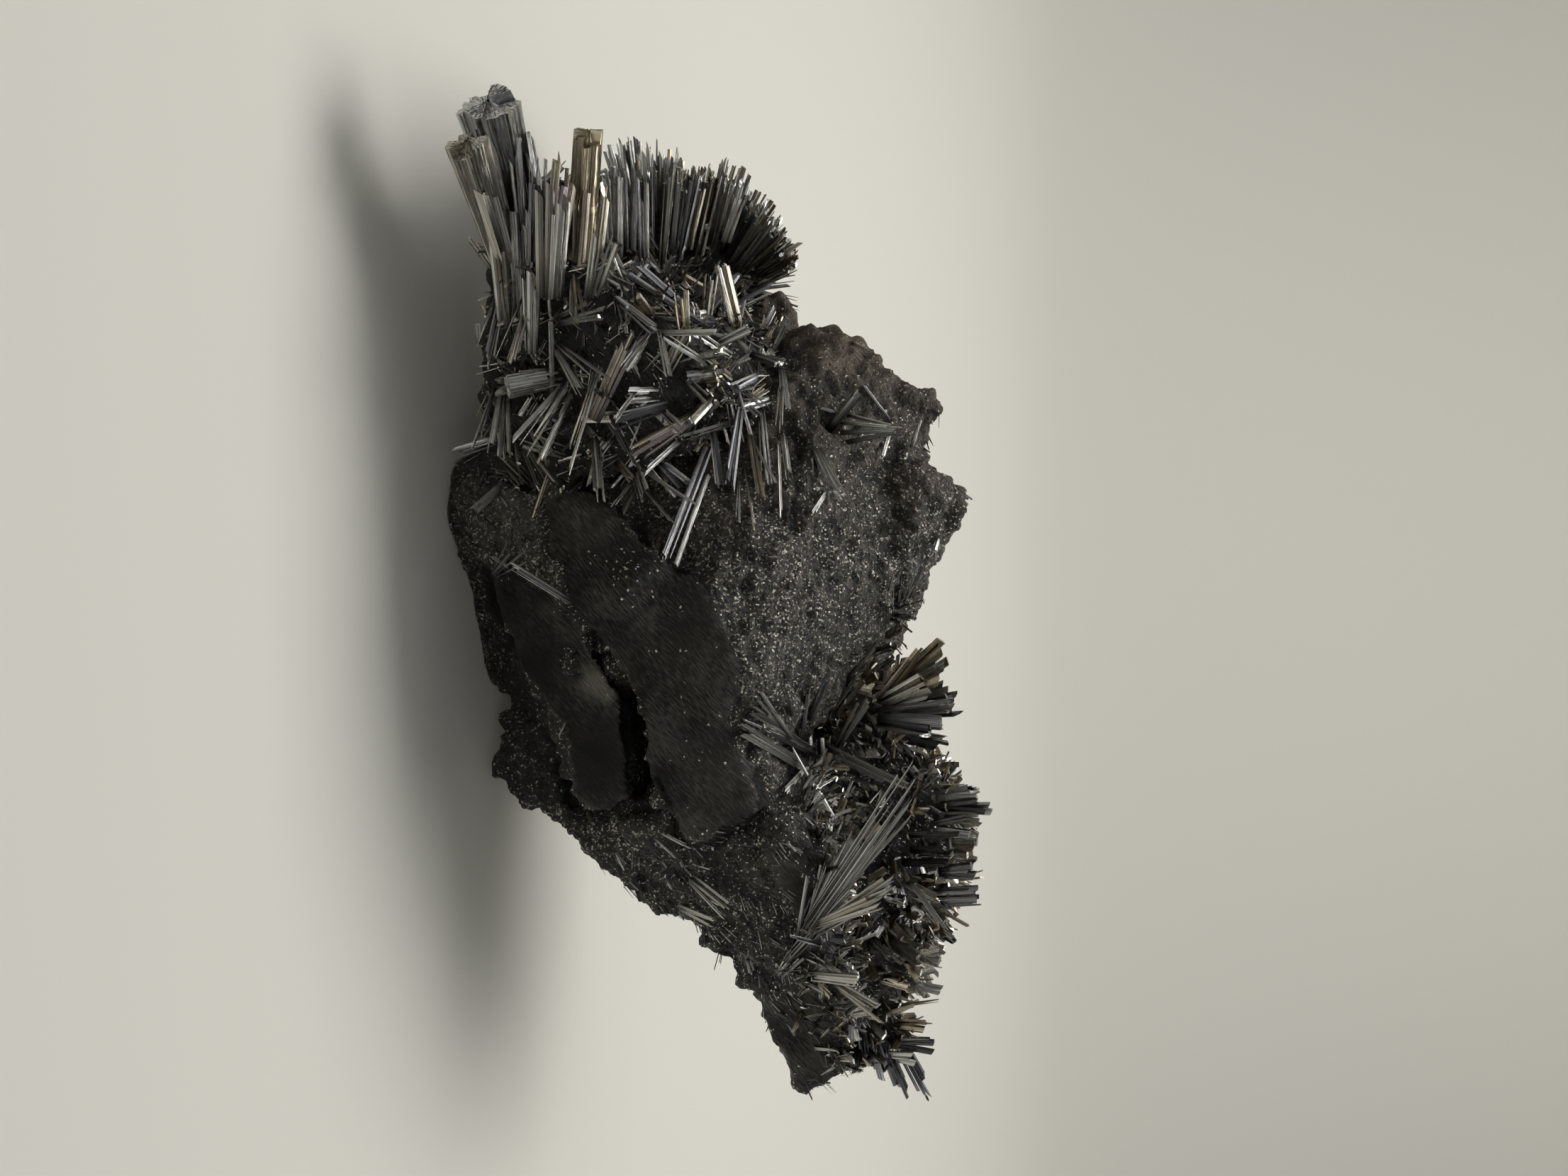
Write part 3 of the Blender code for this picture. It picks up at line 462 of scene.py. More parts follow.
facing = add(look, "ShaderNodeVectorMath", [(0, facing), (1, tilt)], operation="ADD")
facing = add(look, "ShaderNodeVectorMath", [(0, facing)], operation="NORMALIZE")
height = add(look, "ShaderNodeMix", [("Factor", wing), ("A", felt), ("B", fibres)])
height = add(look, "ShaderNodeMix", [("Factor", smooth), ("A", height), ("B", streaks)])
deep = add(look, "ShaderNodeMapRange", [("Value", smooth), ("To Min", 0.0009), ("To Max", 0.0005)])
bump = add(look, "ShaderNodeBump", [("Height", height), ("Strength", 0.9), ("Distance", deep),
                                    ("Normal", facing)])
look.links.new(bump, surface.inputs["Normal"])
rock.data.materials.append(rock_finish)
print("finish:", rock_finish.name, len(look.nodes), "nodes")

# %% [markdown]
# ## The beds of the two thickets
# The crystals of a thicket stand on a mass of broken crystals and rock. Only its hollows and dark gaps
# show. Some blocks with sharp edges, the same ones that the solid has, are joined and remeshed, and noise
# roughens them, so the crystals that grow from it start at uneven depths.

# %% Thicket beds
# corners of each block: as they look from the standpoint with their depth, or as plain places in mm
LEFT_BED = [
    [seen(*p) for p in [
        (-11.5, -30, -17), (-13.5, -36, -15), (-22, -35.2, -18), (-30, -36, -22), (-38, -35, -24),
        (-38, -24, -26), (-30, -12, -23), (-20, -4, -15), (-13, -17, -20), (-30, -1, -6),
        (-37, -12, -10)]]
    + [at(-38, 2, 22), at(-30, 12, 28), at(-18, 10, 14), at(-34, 0, 12)],
    [seen(*p) for p in [
        (-46.5, -8.5, -4), (-47.5, -17, -7), (-42, -4.5, -2), (-38.5, -3, 0), (-34, -6, -5),
        (-36, -16, -14),
        (-46.5, -20.5, -12), (-36, -24, -16)]]
    + [at(-43, 8, 24), at(-38, 11, 29), at(-42, 4, 20), at(-32, 10, 26)],
    # the comb's roots stand in this one
    [seen(*p) for p in [
        (-36, -3.4, -2), (-39, -7.6, -6), (-40, -11.6, -9), (-41, -15.4, -10), (-43.4, -18, -10),
        (-36, -3.4, 19), (-39, -7.6, 19), (-40.4, -11.6, 19), (-41.4, -15.4, 18), (-43.4, -18, 17),
        (-30, -6, 0), (-30, -14, -6), (-32, -18, -6), (-30, -6, 19), (-30, -14, 18), (-33, -18, 17)]],
    [seen(*p) for p in [
        (-48.5, -25.6, -23), (-48.5, -28.4, -24), (-45, -31.2, -25), (-37, -32.6, -24), (-36, -24.5, -24),
        (-47, -25.4, -13), (-42, -30.6, -10), (-36, -22, -8)]],
]
RIGHT_BED = [
    [seen(*p) for p in [(10, 8, 4), (12, 12.6, 6), (17, 14, 8), (22, 14.4, 9), (24, 6, 3), (15, 5, 1)]]
    + [at(10, 24, 47), at(22, 25, 47), at(20, 22, 40), at(14, 8, 38)],
    [seen(*p) for p in [(20.6, 15.6, 8), (24, 19.4, 10), (26.4, 20.4, 10), (32, 19.4, 11), (38, 18.2, 12),
                        (45, 14.4, 12.5), (52, 12, 12.5), (53.6, 8, 12), (40, 7, 1.5), (22, 5, 1.5)]]
    + [at(20, 26, 48), at(28, 26, 53), at(38, 27, 52), at(52, 24, 46), at(34, 26, 40)],
    [seen(*p) for p in [(48, 13.8, 12.5), (54, 13.8, 12.5), (56, 11.8, 12.5), (54.8, 7.6, 11.5),
                        (47, 7, 7.5)]]
    + [at(50, 24, 45), at(54, 20, 43)],
]


BED_CELL = 0.7


def make_bed(name, blocks):
    shape = bmesh.new()
    for corners in blocks:
        new = [shape.verts.new(corner * MM) for corner in corners]
        hull = bmesh.ops.convex_hull(shape, input=new)
        bmesh.ops.delete(shape, geom=hull["geom_interior"], context="VERTS")
    mesh = bpy.data.meshes.new(name)
    shape.to_mesh(mesh)
    shape.free()
    bed = new_object(name, mesh)
    cells = bed.modifiers.new("cells", "REMESH")
    cells.mode = "VOXEL"
    cells.voxel_size = BED_CELL * MM
    bed.data = plain_mesh(bed)
    points = points_of(bed.data) / MM
    normals = np.array([v.normal for v in bed.data.vertices])
    lift = 0.9 * (pebbles(points, 2.6, 4.0) - 0.8) + 0.7 * fractal(points, 1.6, 2, 1.0)
    points += normals * lift[:, None]
    bed.data.vertices.foreach_set("co", (points * MM).ravel())
    places, _ = in_picture(points)
    none = np.zeros(len(points))
    # the lowered height darkens the whole bed through the rock finish's relief shading: painted shade
    # among the crystals
    mark(bed.data, smooth=none, wing=none + 1, raised=lift * 0.6 - 0.3, pale=none, glints=none,
         grain=along_grain(places))
    bed.data.shade_smooth()
    bed.data.materials.append(rock_finish)
    return bed


left_bed = make_bed("left_thicket_bed", LEFT_BED)
right_bed = make_bed("right_thicket_bed", RIGHT_BED)
print("beds:", [len(bed.data.polygons) * 2 for bed in (left_bed, right_bed)], "triangles")

# %% [markdown]
# ## One crystal
# Zinkenite grows in long thin prisms with grooves along them. They break off square, slanted or in a
# step, and the finest end in a point. A few low shapes with a unit size are enough: Geometry Nodes will
# copy and stretch them thousands of times. Each has a UV map, with one turn around the crystal for U and
# its length for V, so that the finish can draw the grooves along it at any size.


# %% Crystal shapes
def crystal_shape(name, ribs, slant, point=1.0, groove=0.0, step=0.0):
    """A crystal that stands on the origin, 1 wide and 1 long. `ribs` faces go around it."""
    shape = bmesh.new()
    layer = shape.loops.layers.uv.new("along")
    rings = []
    for share in (0.0, 1.0):
        ring = []
        for i in range(ribs):
            angle = math.tau * i / ribs
            reach = 0.5 * (1 - groove * (i % 2)) * (1 + (point - 1) * share)
            x, y = reach * math.cos(angle), reach * math.sin(angle)
            drop = share * (slant * (x + 0.3 * y) + (step if x > 0.1 else 0))
            ring.append(shape.verts.new((x, y, share - drop)))
        rings.append(ring)
    for i in range(ribs):
        j = (i + 1) % ribs
        side = shape.faces.new((rings[0][i], rings[0][j], rings[1][j], rings[1][i]))
        for loop, uv in zip(side.loops, ((i, 0), (i + 1, 0), (i + 1, 1), (i, 1))):
            loop[layer].uv = (uv[0] / ribs, uv[1])
    for ring, height in ((rings[0][::-1], 0.0), (rings[1], 1.0)):
        for loop in shape.faces.new(ring).loops:
            loop[layer].uv = (0.5 + loop.vert.co.x * 0.2, height)
    bmesh.ops.triangulate(shape, faces=shape.faces[:])
    mesh = bpy.data.meshes.new(name)
    shape.to_mesh(mesh)
    shape.free()
    return new_object(name, mesh)


SHAPES = [
    crystal_shape("lath", 6, 0.02),
    crystal_shape("slanted_lath", 6, 0.12, point=0.85),
    crystal_shape("needle", 5, 0.1, point=0.25),
    crystal_shape("column", 12, 0.02, groove=0.12),
    crystal_shape("slanted_column", 12, 0.12, point=0.94, groove=0.16),
    crystal_shape("stepped_column", 12, 0.03, groove=0.12, step=0.07),
]
print("shapes:", {shape.name: len(shape.data.polygons) for shape in SHAPES})

# %% [markdown]
# ## The finish of the crystals
# Zinkenite is an opaque lead antimony sulphide: it shines like steel, and some crystals have tarnished to
# straw, bronze or faint purple. So the finish is a metal. A number on each crystal picks its tint, fine
# grooves run along it, and its foot is darkened: painted shade, and dust and broken needles that lie
# there.

# %% Crystal material: metallic sulphide, grooved along its length by its growth
crystal_finish = bpy.data.materials.new("striated_zinkenite")
crystal_finish.use_nodes = True
look = crystal_finish.node_tree
surface = look.nodes["Principled BSDF"]
along = add(look, "ShaderNodeUVMap", uv_map="along")
tone = add(look, "ShaderNodeAttribute", output="Fac", attribute_name="tone")
around = add(look, "ShaderNodeSeparateXYZ", [("Vector", along)], output="X")
length = next(s for s in around.node.outputs if s.name == "Y")
shift = add(look, "ShaderNodeMath", [(0, tone), (1, 57.0)], operation="MULTIPLY")
slow = add(look, "ShaderNodeMath", [(0, length), (1, 0.8)], operation="MULTIPLY")
turns = add(look, "ShaderNodeMath", [(0, around), (1, 26.0)], operation="MULTIPLY")
line = add(look, "ShaderNodeCombineXYZ", [("X", turns), ("Y", slow), ("Z", shift)])
grooves = add(look, "ShaderNodeTexNoise", [("Vector", line), ("Scale", 1.0), ("Detail", 3.0),
                                           ("Roughness", 0.7)])
tint = add(look, "ShaderNodeValToRGB", [("Fac", tone)], output="Color").node.color_ramp
tint.elements[0].color, tint.elements[1].color = linear("#4e4f52"), linear("#b9b19e")
for stop, hex_colour in ((0.14, "#909195"), (0.28, "#d0d0cc"), (0.5, "#aaa69d"), (0.7, "#b5a98f"),
                         (0.86, "#a39aa3")):
    tint.elements.new(stop).color = linear(hex_colour)
tinted = look.nodes["Color Ramp"].outputs["Color"]
strength = add(look, "ShaderNodeMapRange", [("Value", grooves), ("From Min", 0.33), ("From Max", 0.67),
                                            ("To Min", 0.42), ("To Max", 1.5)])
# painted shade and dust: the colour is darkened towards each crystal's foot
foot = add(look, "ShaderNodeMapRange", [("Value", length), ("From Min", 0.0), ("From Max", 0.38),
                                        ("To Min", 0.22), ("To Max", 1.0)])
strength = add(look, "ShaderNodeMath", [(0, strength), (1, foot)], operation="MULTIPLY")
colour = add(look, "ShaderNodeVectorMath", [(0, tinted), ("Scale", strength)], operation="SCALE")
look.links.new(colour, surface.inputs["Base Color"])
polish = add(look, "ShaderNodeMapRange", [("Value", grooves), ("From Min", 0.3), ("From Max", 0.7),
                                          ("To Min", 0.27), ("To Max", 0.13)])
look.links.new(polish, surface.inputs["Roughness"])
surface.inputs["Metallic"].default_value = 1.0
bump = add(look, "ShaderNodeBump", [("Height", grooves), ("Strength", 0.5), ("Distance", 0.00008)])
look.links.new(bump, surface.inputs["Normal"])
print("finish:", crystal_finish.name, len(look.nodes), "nodes")

# %% [markdown]
# ## How crystals grow
# Every spray starts from one point and spreads. A point of a mesh holds what one spray needs: its
# direction, its length, how many crystals it has and how wide they are. The Geometry Nodes tree copies
# each point that many times, moves the copies apart across the spray's root, turns each one outwards,
# picks a shape and stretches it. It is one tree for everything from a fan of 1.5 mm laths to needles.

# %% Growth tree
SPRAY_VECTORS = ("aim", "side")
SPRAY_NUMBERS = ("length", "spread", "bed", "thin", "width", "flat", "tone", "turn", "stagger")
# what each crystal of a spray gets by chance, from the lowest to the highest
CHANCES = (("across", -1.0, 1.0), ("through", -1.0, 1.0), ("back", -1.0, 0.0), ("tone", -0.16, 0.16),
           ("roll", -math.pi, math.pi), ("width", 0.6, 1.25), ("length", 0.74, 1.02))
STOUT = 0.85  # the width in mm from which a crystal shows its grooves


def growth_tree(shapes, finish):
    tree = bpy.data.node_groups.new("grow_crystals", "GeometryNodeTree")
    for name, kind, value in (("Roots", "Geometry", None), ("Width", "Float", 1.0),
                              ("Length", "Float", 1.0), ("Seed", "Int", 0)):
        socket = tree.interface.new_socket(name, in_out="INPUT", socket_type="NodeSocket" + kind)
        if value is not None:
            socket.default_value = value
    tree.interface.new_socket("Crystals", in_out="OUTPUT", socket_type="NodeSocketGeometry")
    given = tree.nodes.new("NodeGroupInput").outputs
    field = {name: add(tree, "GeometryNodeInputNamedAttribute", [("Name", name)],
                       data_type="FLOAT_VECTOR")
             for name in SPRAY_VECTORS}
    field |= {name: add(tree, "GeometryNodeInputNamedAttribute", [("Name", name)], data_type="FLOAT")
              for name in SPRAY_NUMBERS}
    count = add(tree, "GeometryNodeInputNamedAttribute", [("Name", "count")], data_type="INT")

    chance = {}
    for number, (name, low, high) in enumerate(CHANCES):
        own_seed = add(tree, "ShaderNodeMath", [(0, given["Seed"]), (1, number)], operation="ADD")
        chance[name] = add(tree, "FunctionNodeRandomValue",
                           [("Min", low), ("Max", high), ("Seed", own_seed)], data_type="FLOAT")
    jitter = add(tree, "FunctionNodeRandomValue", [("Min", (-1, -1, -1)), ("Max", (1, 1, 1)),
                                                   ("Seed", 7)],
                 data_type="FLOAT_VECTOR")
    other = add(tree, "ShaderNodeVectorMath", [(0, field["aim"]), (1, field["side"])],
                operation="CROSS_PRODUCT")
    through = add(tree, "ShaderNodeMath", [(0, chance["through"]), (1, field["thin"])],
                  operation="MULTIPLY")
    apart = add(tree, "ShaderNodeVectorMath", [(0, field["side"]), ("Scale", chance["across"])],
                operation="SCALE")
    other = add(tree, "ShaderNodeVectorMath", [(0, other), ("Scale", through)], operation="SCALE")
    apart = add(tree, "ShaderNodeVectorMath", [(0, apart), (1, other)], operation="ADD")
    uneven = add(tree, "ShaderNodeVectorMath", [(0, jitter), (1, (0.35, 0.35, 0.35)), (2, apart)],
                 operation="MULTIPLY_ADD")
    fan_out = add(tree, "ShaderNodeVectorMath", [(0, uneven), ("Scale", field["spread"])],
                  operation="SCALE")
    outward = add(tree, "ShaderNodeVectorMath", [(0, field["aim"]), (1, fan_out)], operation="ADD")
    step_back = add(tree, "ShaderNodeMath", [(0, chance["back"]), (1, field["stagger"])],
                    operation="MULTIPLY")
    back = add(tree, "ShaderNodeVectorMath", [(0, field["aim"]), ("Scale", step_back)], operation="SCALE")
    offset = add(tree, "ShaderNodeVectorMath", [(0, apart), ("Scale", field["bed"])], operation="SCALE")
    offset = add(tree, "ShaderNodeVectorMath", [(0, offset), (1, back)], operation="ADD")

    points = add(tree, "GeometryNodeMeshToPoints", [("Mesh", given["Roots"])])
    copies = add(tree, "GeometryNodeDuplicateElements", [("Geometry", points), ("Amount", count)],
                 domain="POINT")
    copies = add(tree, "GeometryNodeSetPosition", [("Geometry", copies), ("Offset", offset)])
    own_tone = add(tree, "ShaderNodeMath", [(0, field["tone"]), (1, chance["tone"])],
                   operation="ADD", use_clamp=True)
    copies = add(tree, "GeometryNodeStoreNamedAttribute",
                 [("Geometry", copies), ("Name", "tone"), ("Value", own_tone)], data_type="FLOAT",
                 domain="POINT")
    turn = add(tree, "FunctionNodeAlignRotationToVector", [("Vector", outward)], axis="Z")
    turn = add(tree, "FunctionNodeAlignRotationToVector", [("Rotation", turn), ("Vector", field["side"])],
               axis="X", pivot_axis="Z")
    roll = add(tree, "ShaderNodeMath", [(0, chance["roll"]), (1, field["turn"])], operation="MULTIPLY")
    roll = add(tree, "FunctionNodeAxisAngleToRotation", [("Axis", (0, 0, 1)), ("Angle", roll)])
    turn = add(tree, "FunctionNodeRotateRotation", [("Rotation", turn), ("Rotate By", roll)],
               rotation_space="LOCAL")
    wide = add(tree, "ShaderNodeMath", [(0, field["width"]), (1, chance["width"])], operation="MULTIPLY")
    wide = add(tree, "ShaderNodeMath", [(0, wide), (1, given["Width"])], operation="MULTIPLY")
    thick = add(tree, "ShaderNodeMath", [(0, wide), (1, field["flat"])], operation="MULTIPLY")
    long = add(tree, "ShaderNodeMath", [(0, field["length"]), (1, chance["length"])],
               operation="MULTIPLY")
    long = add(tree, "ShaderNodeMath", [(0, long), (1, given["Length"])], operation="MULTIPLY")
    size = add(tree, "ShaderNodeCombineXYZ", [("X", wide), ("Y", thick), ("Z", long)])
    # a stout crystal takes one of the grooved columns, a finer one a plain lath or needle
    pick = add(tree, "FunctionNodeRandomValue", [("Min", 0), ("Max", 2), ("Seed", 9)], data_type="INT")
    stout = add(tree, "ShaderNodeMath", [(0, wide), (1, STOUT * MM)], operation="GREATER_THAN")
    stout = add(tree, "ShaderNodeMath", [(0, stout), (1, 3.0)], operation="MULTIPLY")
    pick = add(tree, "ShaderNodeMath", [(0, stout), (1, pick)], operation="ADD")
    set_of_shapes = tree.nodes.new("GeometryNodeJoinGeometry")
    for shape in reversed(shapes):
        one = add(tree, "GeometryNodeObjectInfo", [("Object", shape), ("As Instance", True)],
                  output="Geometry")
        tree.links.new(one, set_of_shapes.inputs[0])
    crystals = add(tree, "GeometryNodeInstanceOnPoints",
                   [("Points", copies), ("Instance", set_of_shapes.outputs[0]), ("Pick Instance", True),
                    ("Instance Index", pick), ("Rotation", turn), ("Scale", size)])
    crystals = add(tree, "GeometryNodeRealizeInstances", [("Geometry", crystals)])
    crystals = add(tree, "GeometryNodeSetMaterial", [("Geometry", crystals), ("Material", finish)])
    add(tree, "NodeGroupOutput", [("Crystals", crystals)])
    return tree


tree = growth_tree(SHAPES, crystal_finish)
print("tree:", tree.name, len(tree.nodes), "nodes")

# %% [markdown]
# ## Where the sprays start
# The crystals that catch the eye have a place of their own in a table: where the root and the tip show,
# how far the tip stands nearer than the root, and what the spray is like. The rest, thousands of small
# ones, are sown by chance over the beds and the rough rock. Both kinds are lists of `Spray`.


# %% Sprays
Spray = namedtuple("Spray", "root aim side length spread bed thin count width flat tone turn stagger")


# a face turned one of these ways mirrors the lamp above or the window in front to the standpoint
GLANCES = (Vector((-0.03, -0.5, 0.87)), Vector((0.1, -0.91, 0.4)))


def spray(root, tip, count, width, spread=0.1, bed=0.5, thin=0.5, flat=0.55, tone=0.3, turn=0.2,
          stagger=0.5):
    """A spray from one point in space to another. Its broad side catches the light."""
    aim = (tip - root).normalized()
    glance = min(GLANCES, key=lambda way: abs(way.dot(aim)))
    side = aim.cross(glance).normalized()
    return Spray(root, aim, side, (tip - root).length, spread, bed, thin, count, width, flat, tone, turn,
                 stagger)


def shown(tree, start, end, nearer, count, width, spread=0.06, bed=0.5, tone=0.3, rise=0.0, **looks):
    """A spray whose root and tip show at these places. Its root sits on the surface, or `rise` above it
    among smaller crystals, and its tip comes forward until the surface hides no part of it."""
    root = on_surface(tree, *start)
    toward = (EYE - root).normalized()
    for lift in np.arange(0, 16, 0.6):
        tip = seen(*end, root.y - MIDDLE.y - nearer - lift - rise)
        foot = root + toward * (rise + min(0.4 * lift, 1.2))
        if all(in_front(tree, foot.lerp(tip, share)) for share in (0.3, 0.5, 0.7, 0.85, 1.0)):
            break
    return spray(foot, tip, count, width, spread, bed, tone=tone, **looks)


def sown(rng, mesh, number, keep, aim, length, width, count, **looks):
    """Sprays at random places of a mesh where `keep` says so, each aimed by its point and normal."""
    mesh.calc_loop_triangles()
    centres = np.array([t.center for t in mesh.loop_triangles]) / MM
    normals = np.array([t.normal for t in mesh.loop_triangles])
    share = np.array([t.area for t in mesh.loop_triangles]) * keep(centres, normals)
    made = []
    for i in rng.choice(len(centres), number, p=share / share.sum()):
        root, normal = Vector(centres[i]), Vector(normals[i])
        chance = Vector(rng.normal(size=3)).normalized()
        direction = aim(root, normal, chance).normalized()
        size = rng.uniform(0.6, 1.3)
        made.append(Spray(
            root - normal * 0.3, direction, direction.cross(chance).normalized(), length * size,
            looks.get("spread", 0.3), looks.get("bed", 0.4), looks.get("thin", 0.7), count,
            width * rng.uniform(0.7, 1.3), looks.get("flat", 0.5),
            rng.uniform(*looks.get("tone", (0.0, 0.9))),
            1.0, 0.3))
    return made


def grow(name, sprays, slot, replaced=(), seed=1):
    """Turns a list of sprays into a mesh of crystals."""
    mesh = bpy.data.meshes.new(name)
    mesh.vertices.add(len(sprays))
    mesh.vertices.foreach_set("co", [v * MM for s in sprays for v in s.root])
    lengths = {"length", "bed", "width", "stagger"}
    for key in SPRAY_VECTORS:
        values = [v for s in sprays for v in getattr(s, key)]
        mesh.attributes.new(key, "FLOAT_VECTOR", "POINT").data.foreach_set("vector", values)
    for key in SPRAY_NUMBERS:
        values = [getattr(s, key) * (MM if key in lengths else 1) for s in sprays]
        mesh.attributes.new(key, "FLOAT", "POINT").data.foreach_set("value", values)
    mesh.attributes.new("count", "INT", "POINT").data.foreach_set("value", [s.count for s in sprays])
    crystals = new_object(name, mesh)
    modifier = crystals.modifiers.new("grow", "NODES")
    modifier.node_group = tree
    names = {item.name: item.identifier for item in tree.interface.items_tree}
    modifier[names["Seed"]] = seed
    crystals.data = plain_mesh(crystals)
    for attribute in [a.name for a in crystals.data.attributes]:
        if attribute in SPRAY_VECTORS + SPRAY_NUMBERS + ("count",) and attribute != "tone":
            crystals.data.attributes.remove(crystals.data.attributes[attribute])
    pieces.append((crystals, slot, replaced))
    print(name, len(sprays), "sprays,", len(crystals.data.polygons), "triangles")
    return crystals


pieces = [(rock, "rock", ("matrix_rock",)), (left_bed, "rock", ("left_thicket",)),
          (right_bed, "rock", ("right_thicket",))]

# %% [markdown]
# ## The left thicket
# Its upper left is a comb of fine laths that fan out to the left, row behind row. In front of it lie
# sheaves and single crystals in all directions, some of them bright. Towards the slope, sheaves of
# needles point to the right.

# %% Left thicket: what has a place of its own
# root and tip of each tooth of the comb, as they show
COMB = [
    ((-35.8, -3.0), (-38.3, 1.5)), ((-36.2, -3.6), (-39.5, 1.3)), ((-36.4, -4.4), (-41.1, 2.1)),
    ((-36.8, -5.0), (-42.6, 0.8)), ((-37.4, -5.6), (-44.0, -0.6)), ((-38.0, -6.4), (-46.4, -1.6)),
    ((-38.6, -7.4), (-48.5, -3.4)), ((-39.6, -8.4), (-51.0, -5.8)), ((-39.0, -12.0), (-50.2, -10.0)),
    ((-38.0, -14.3), (-52.2, -13.0)), ((-40.0, -16.0), (-53.2, -16.9)), ((-43.0, -18.0), (-53.0, -20.2)),
]
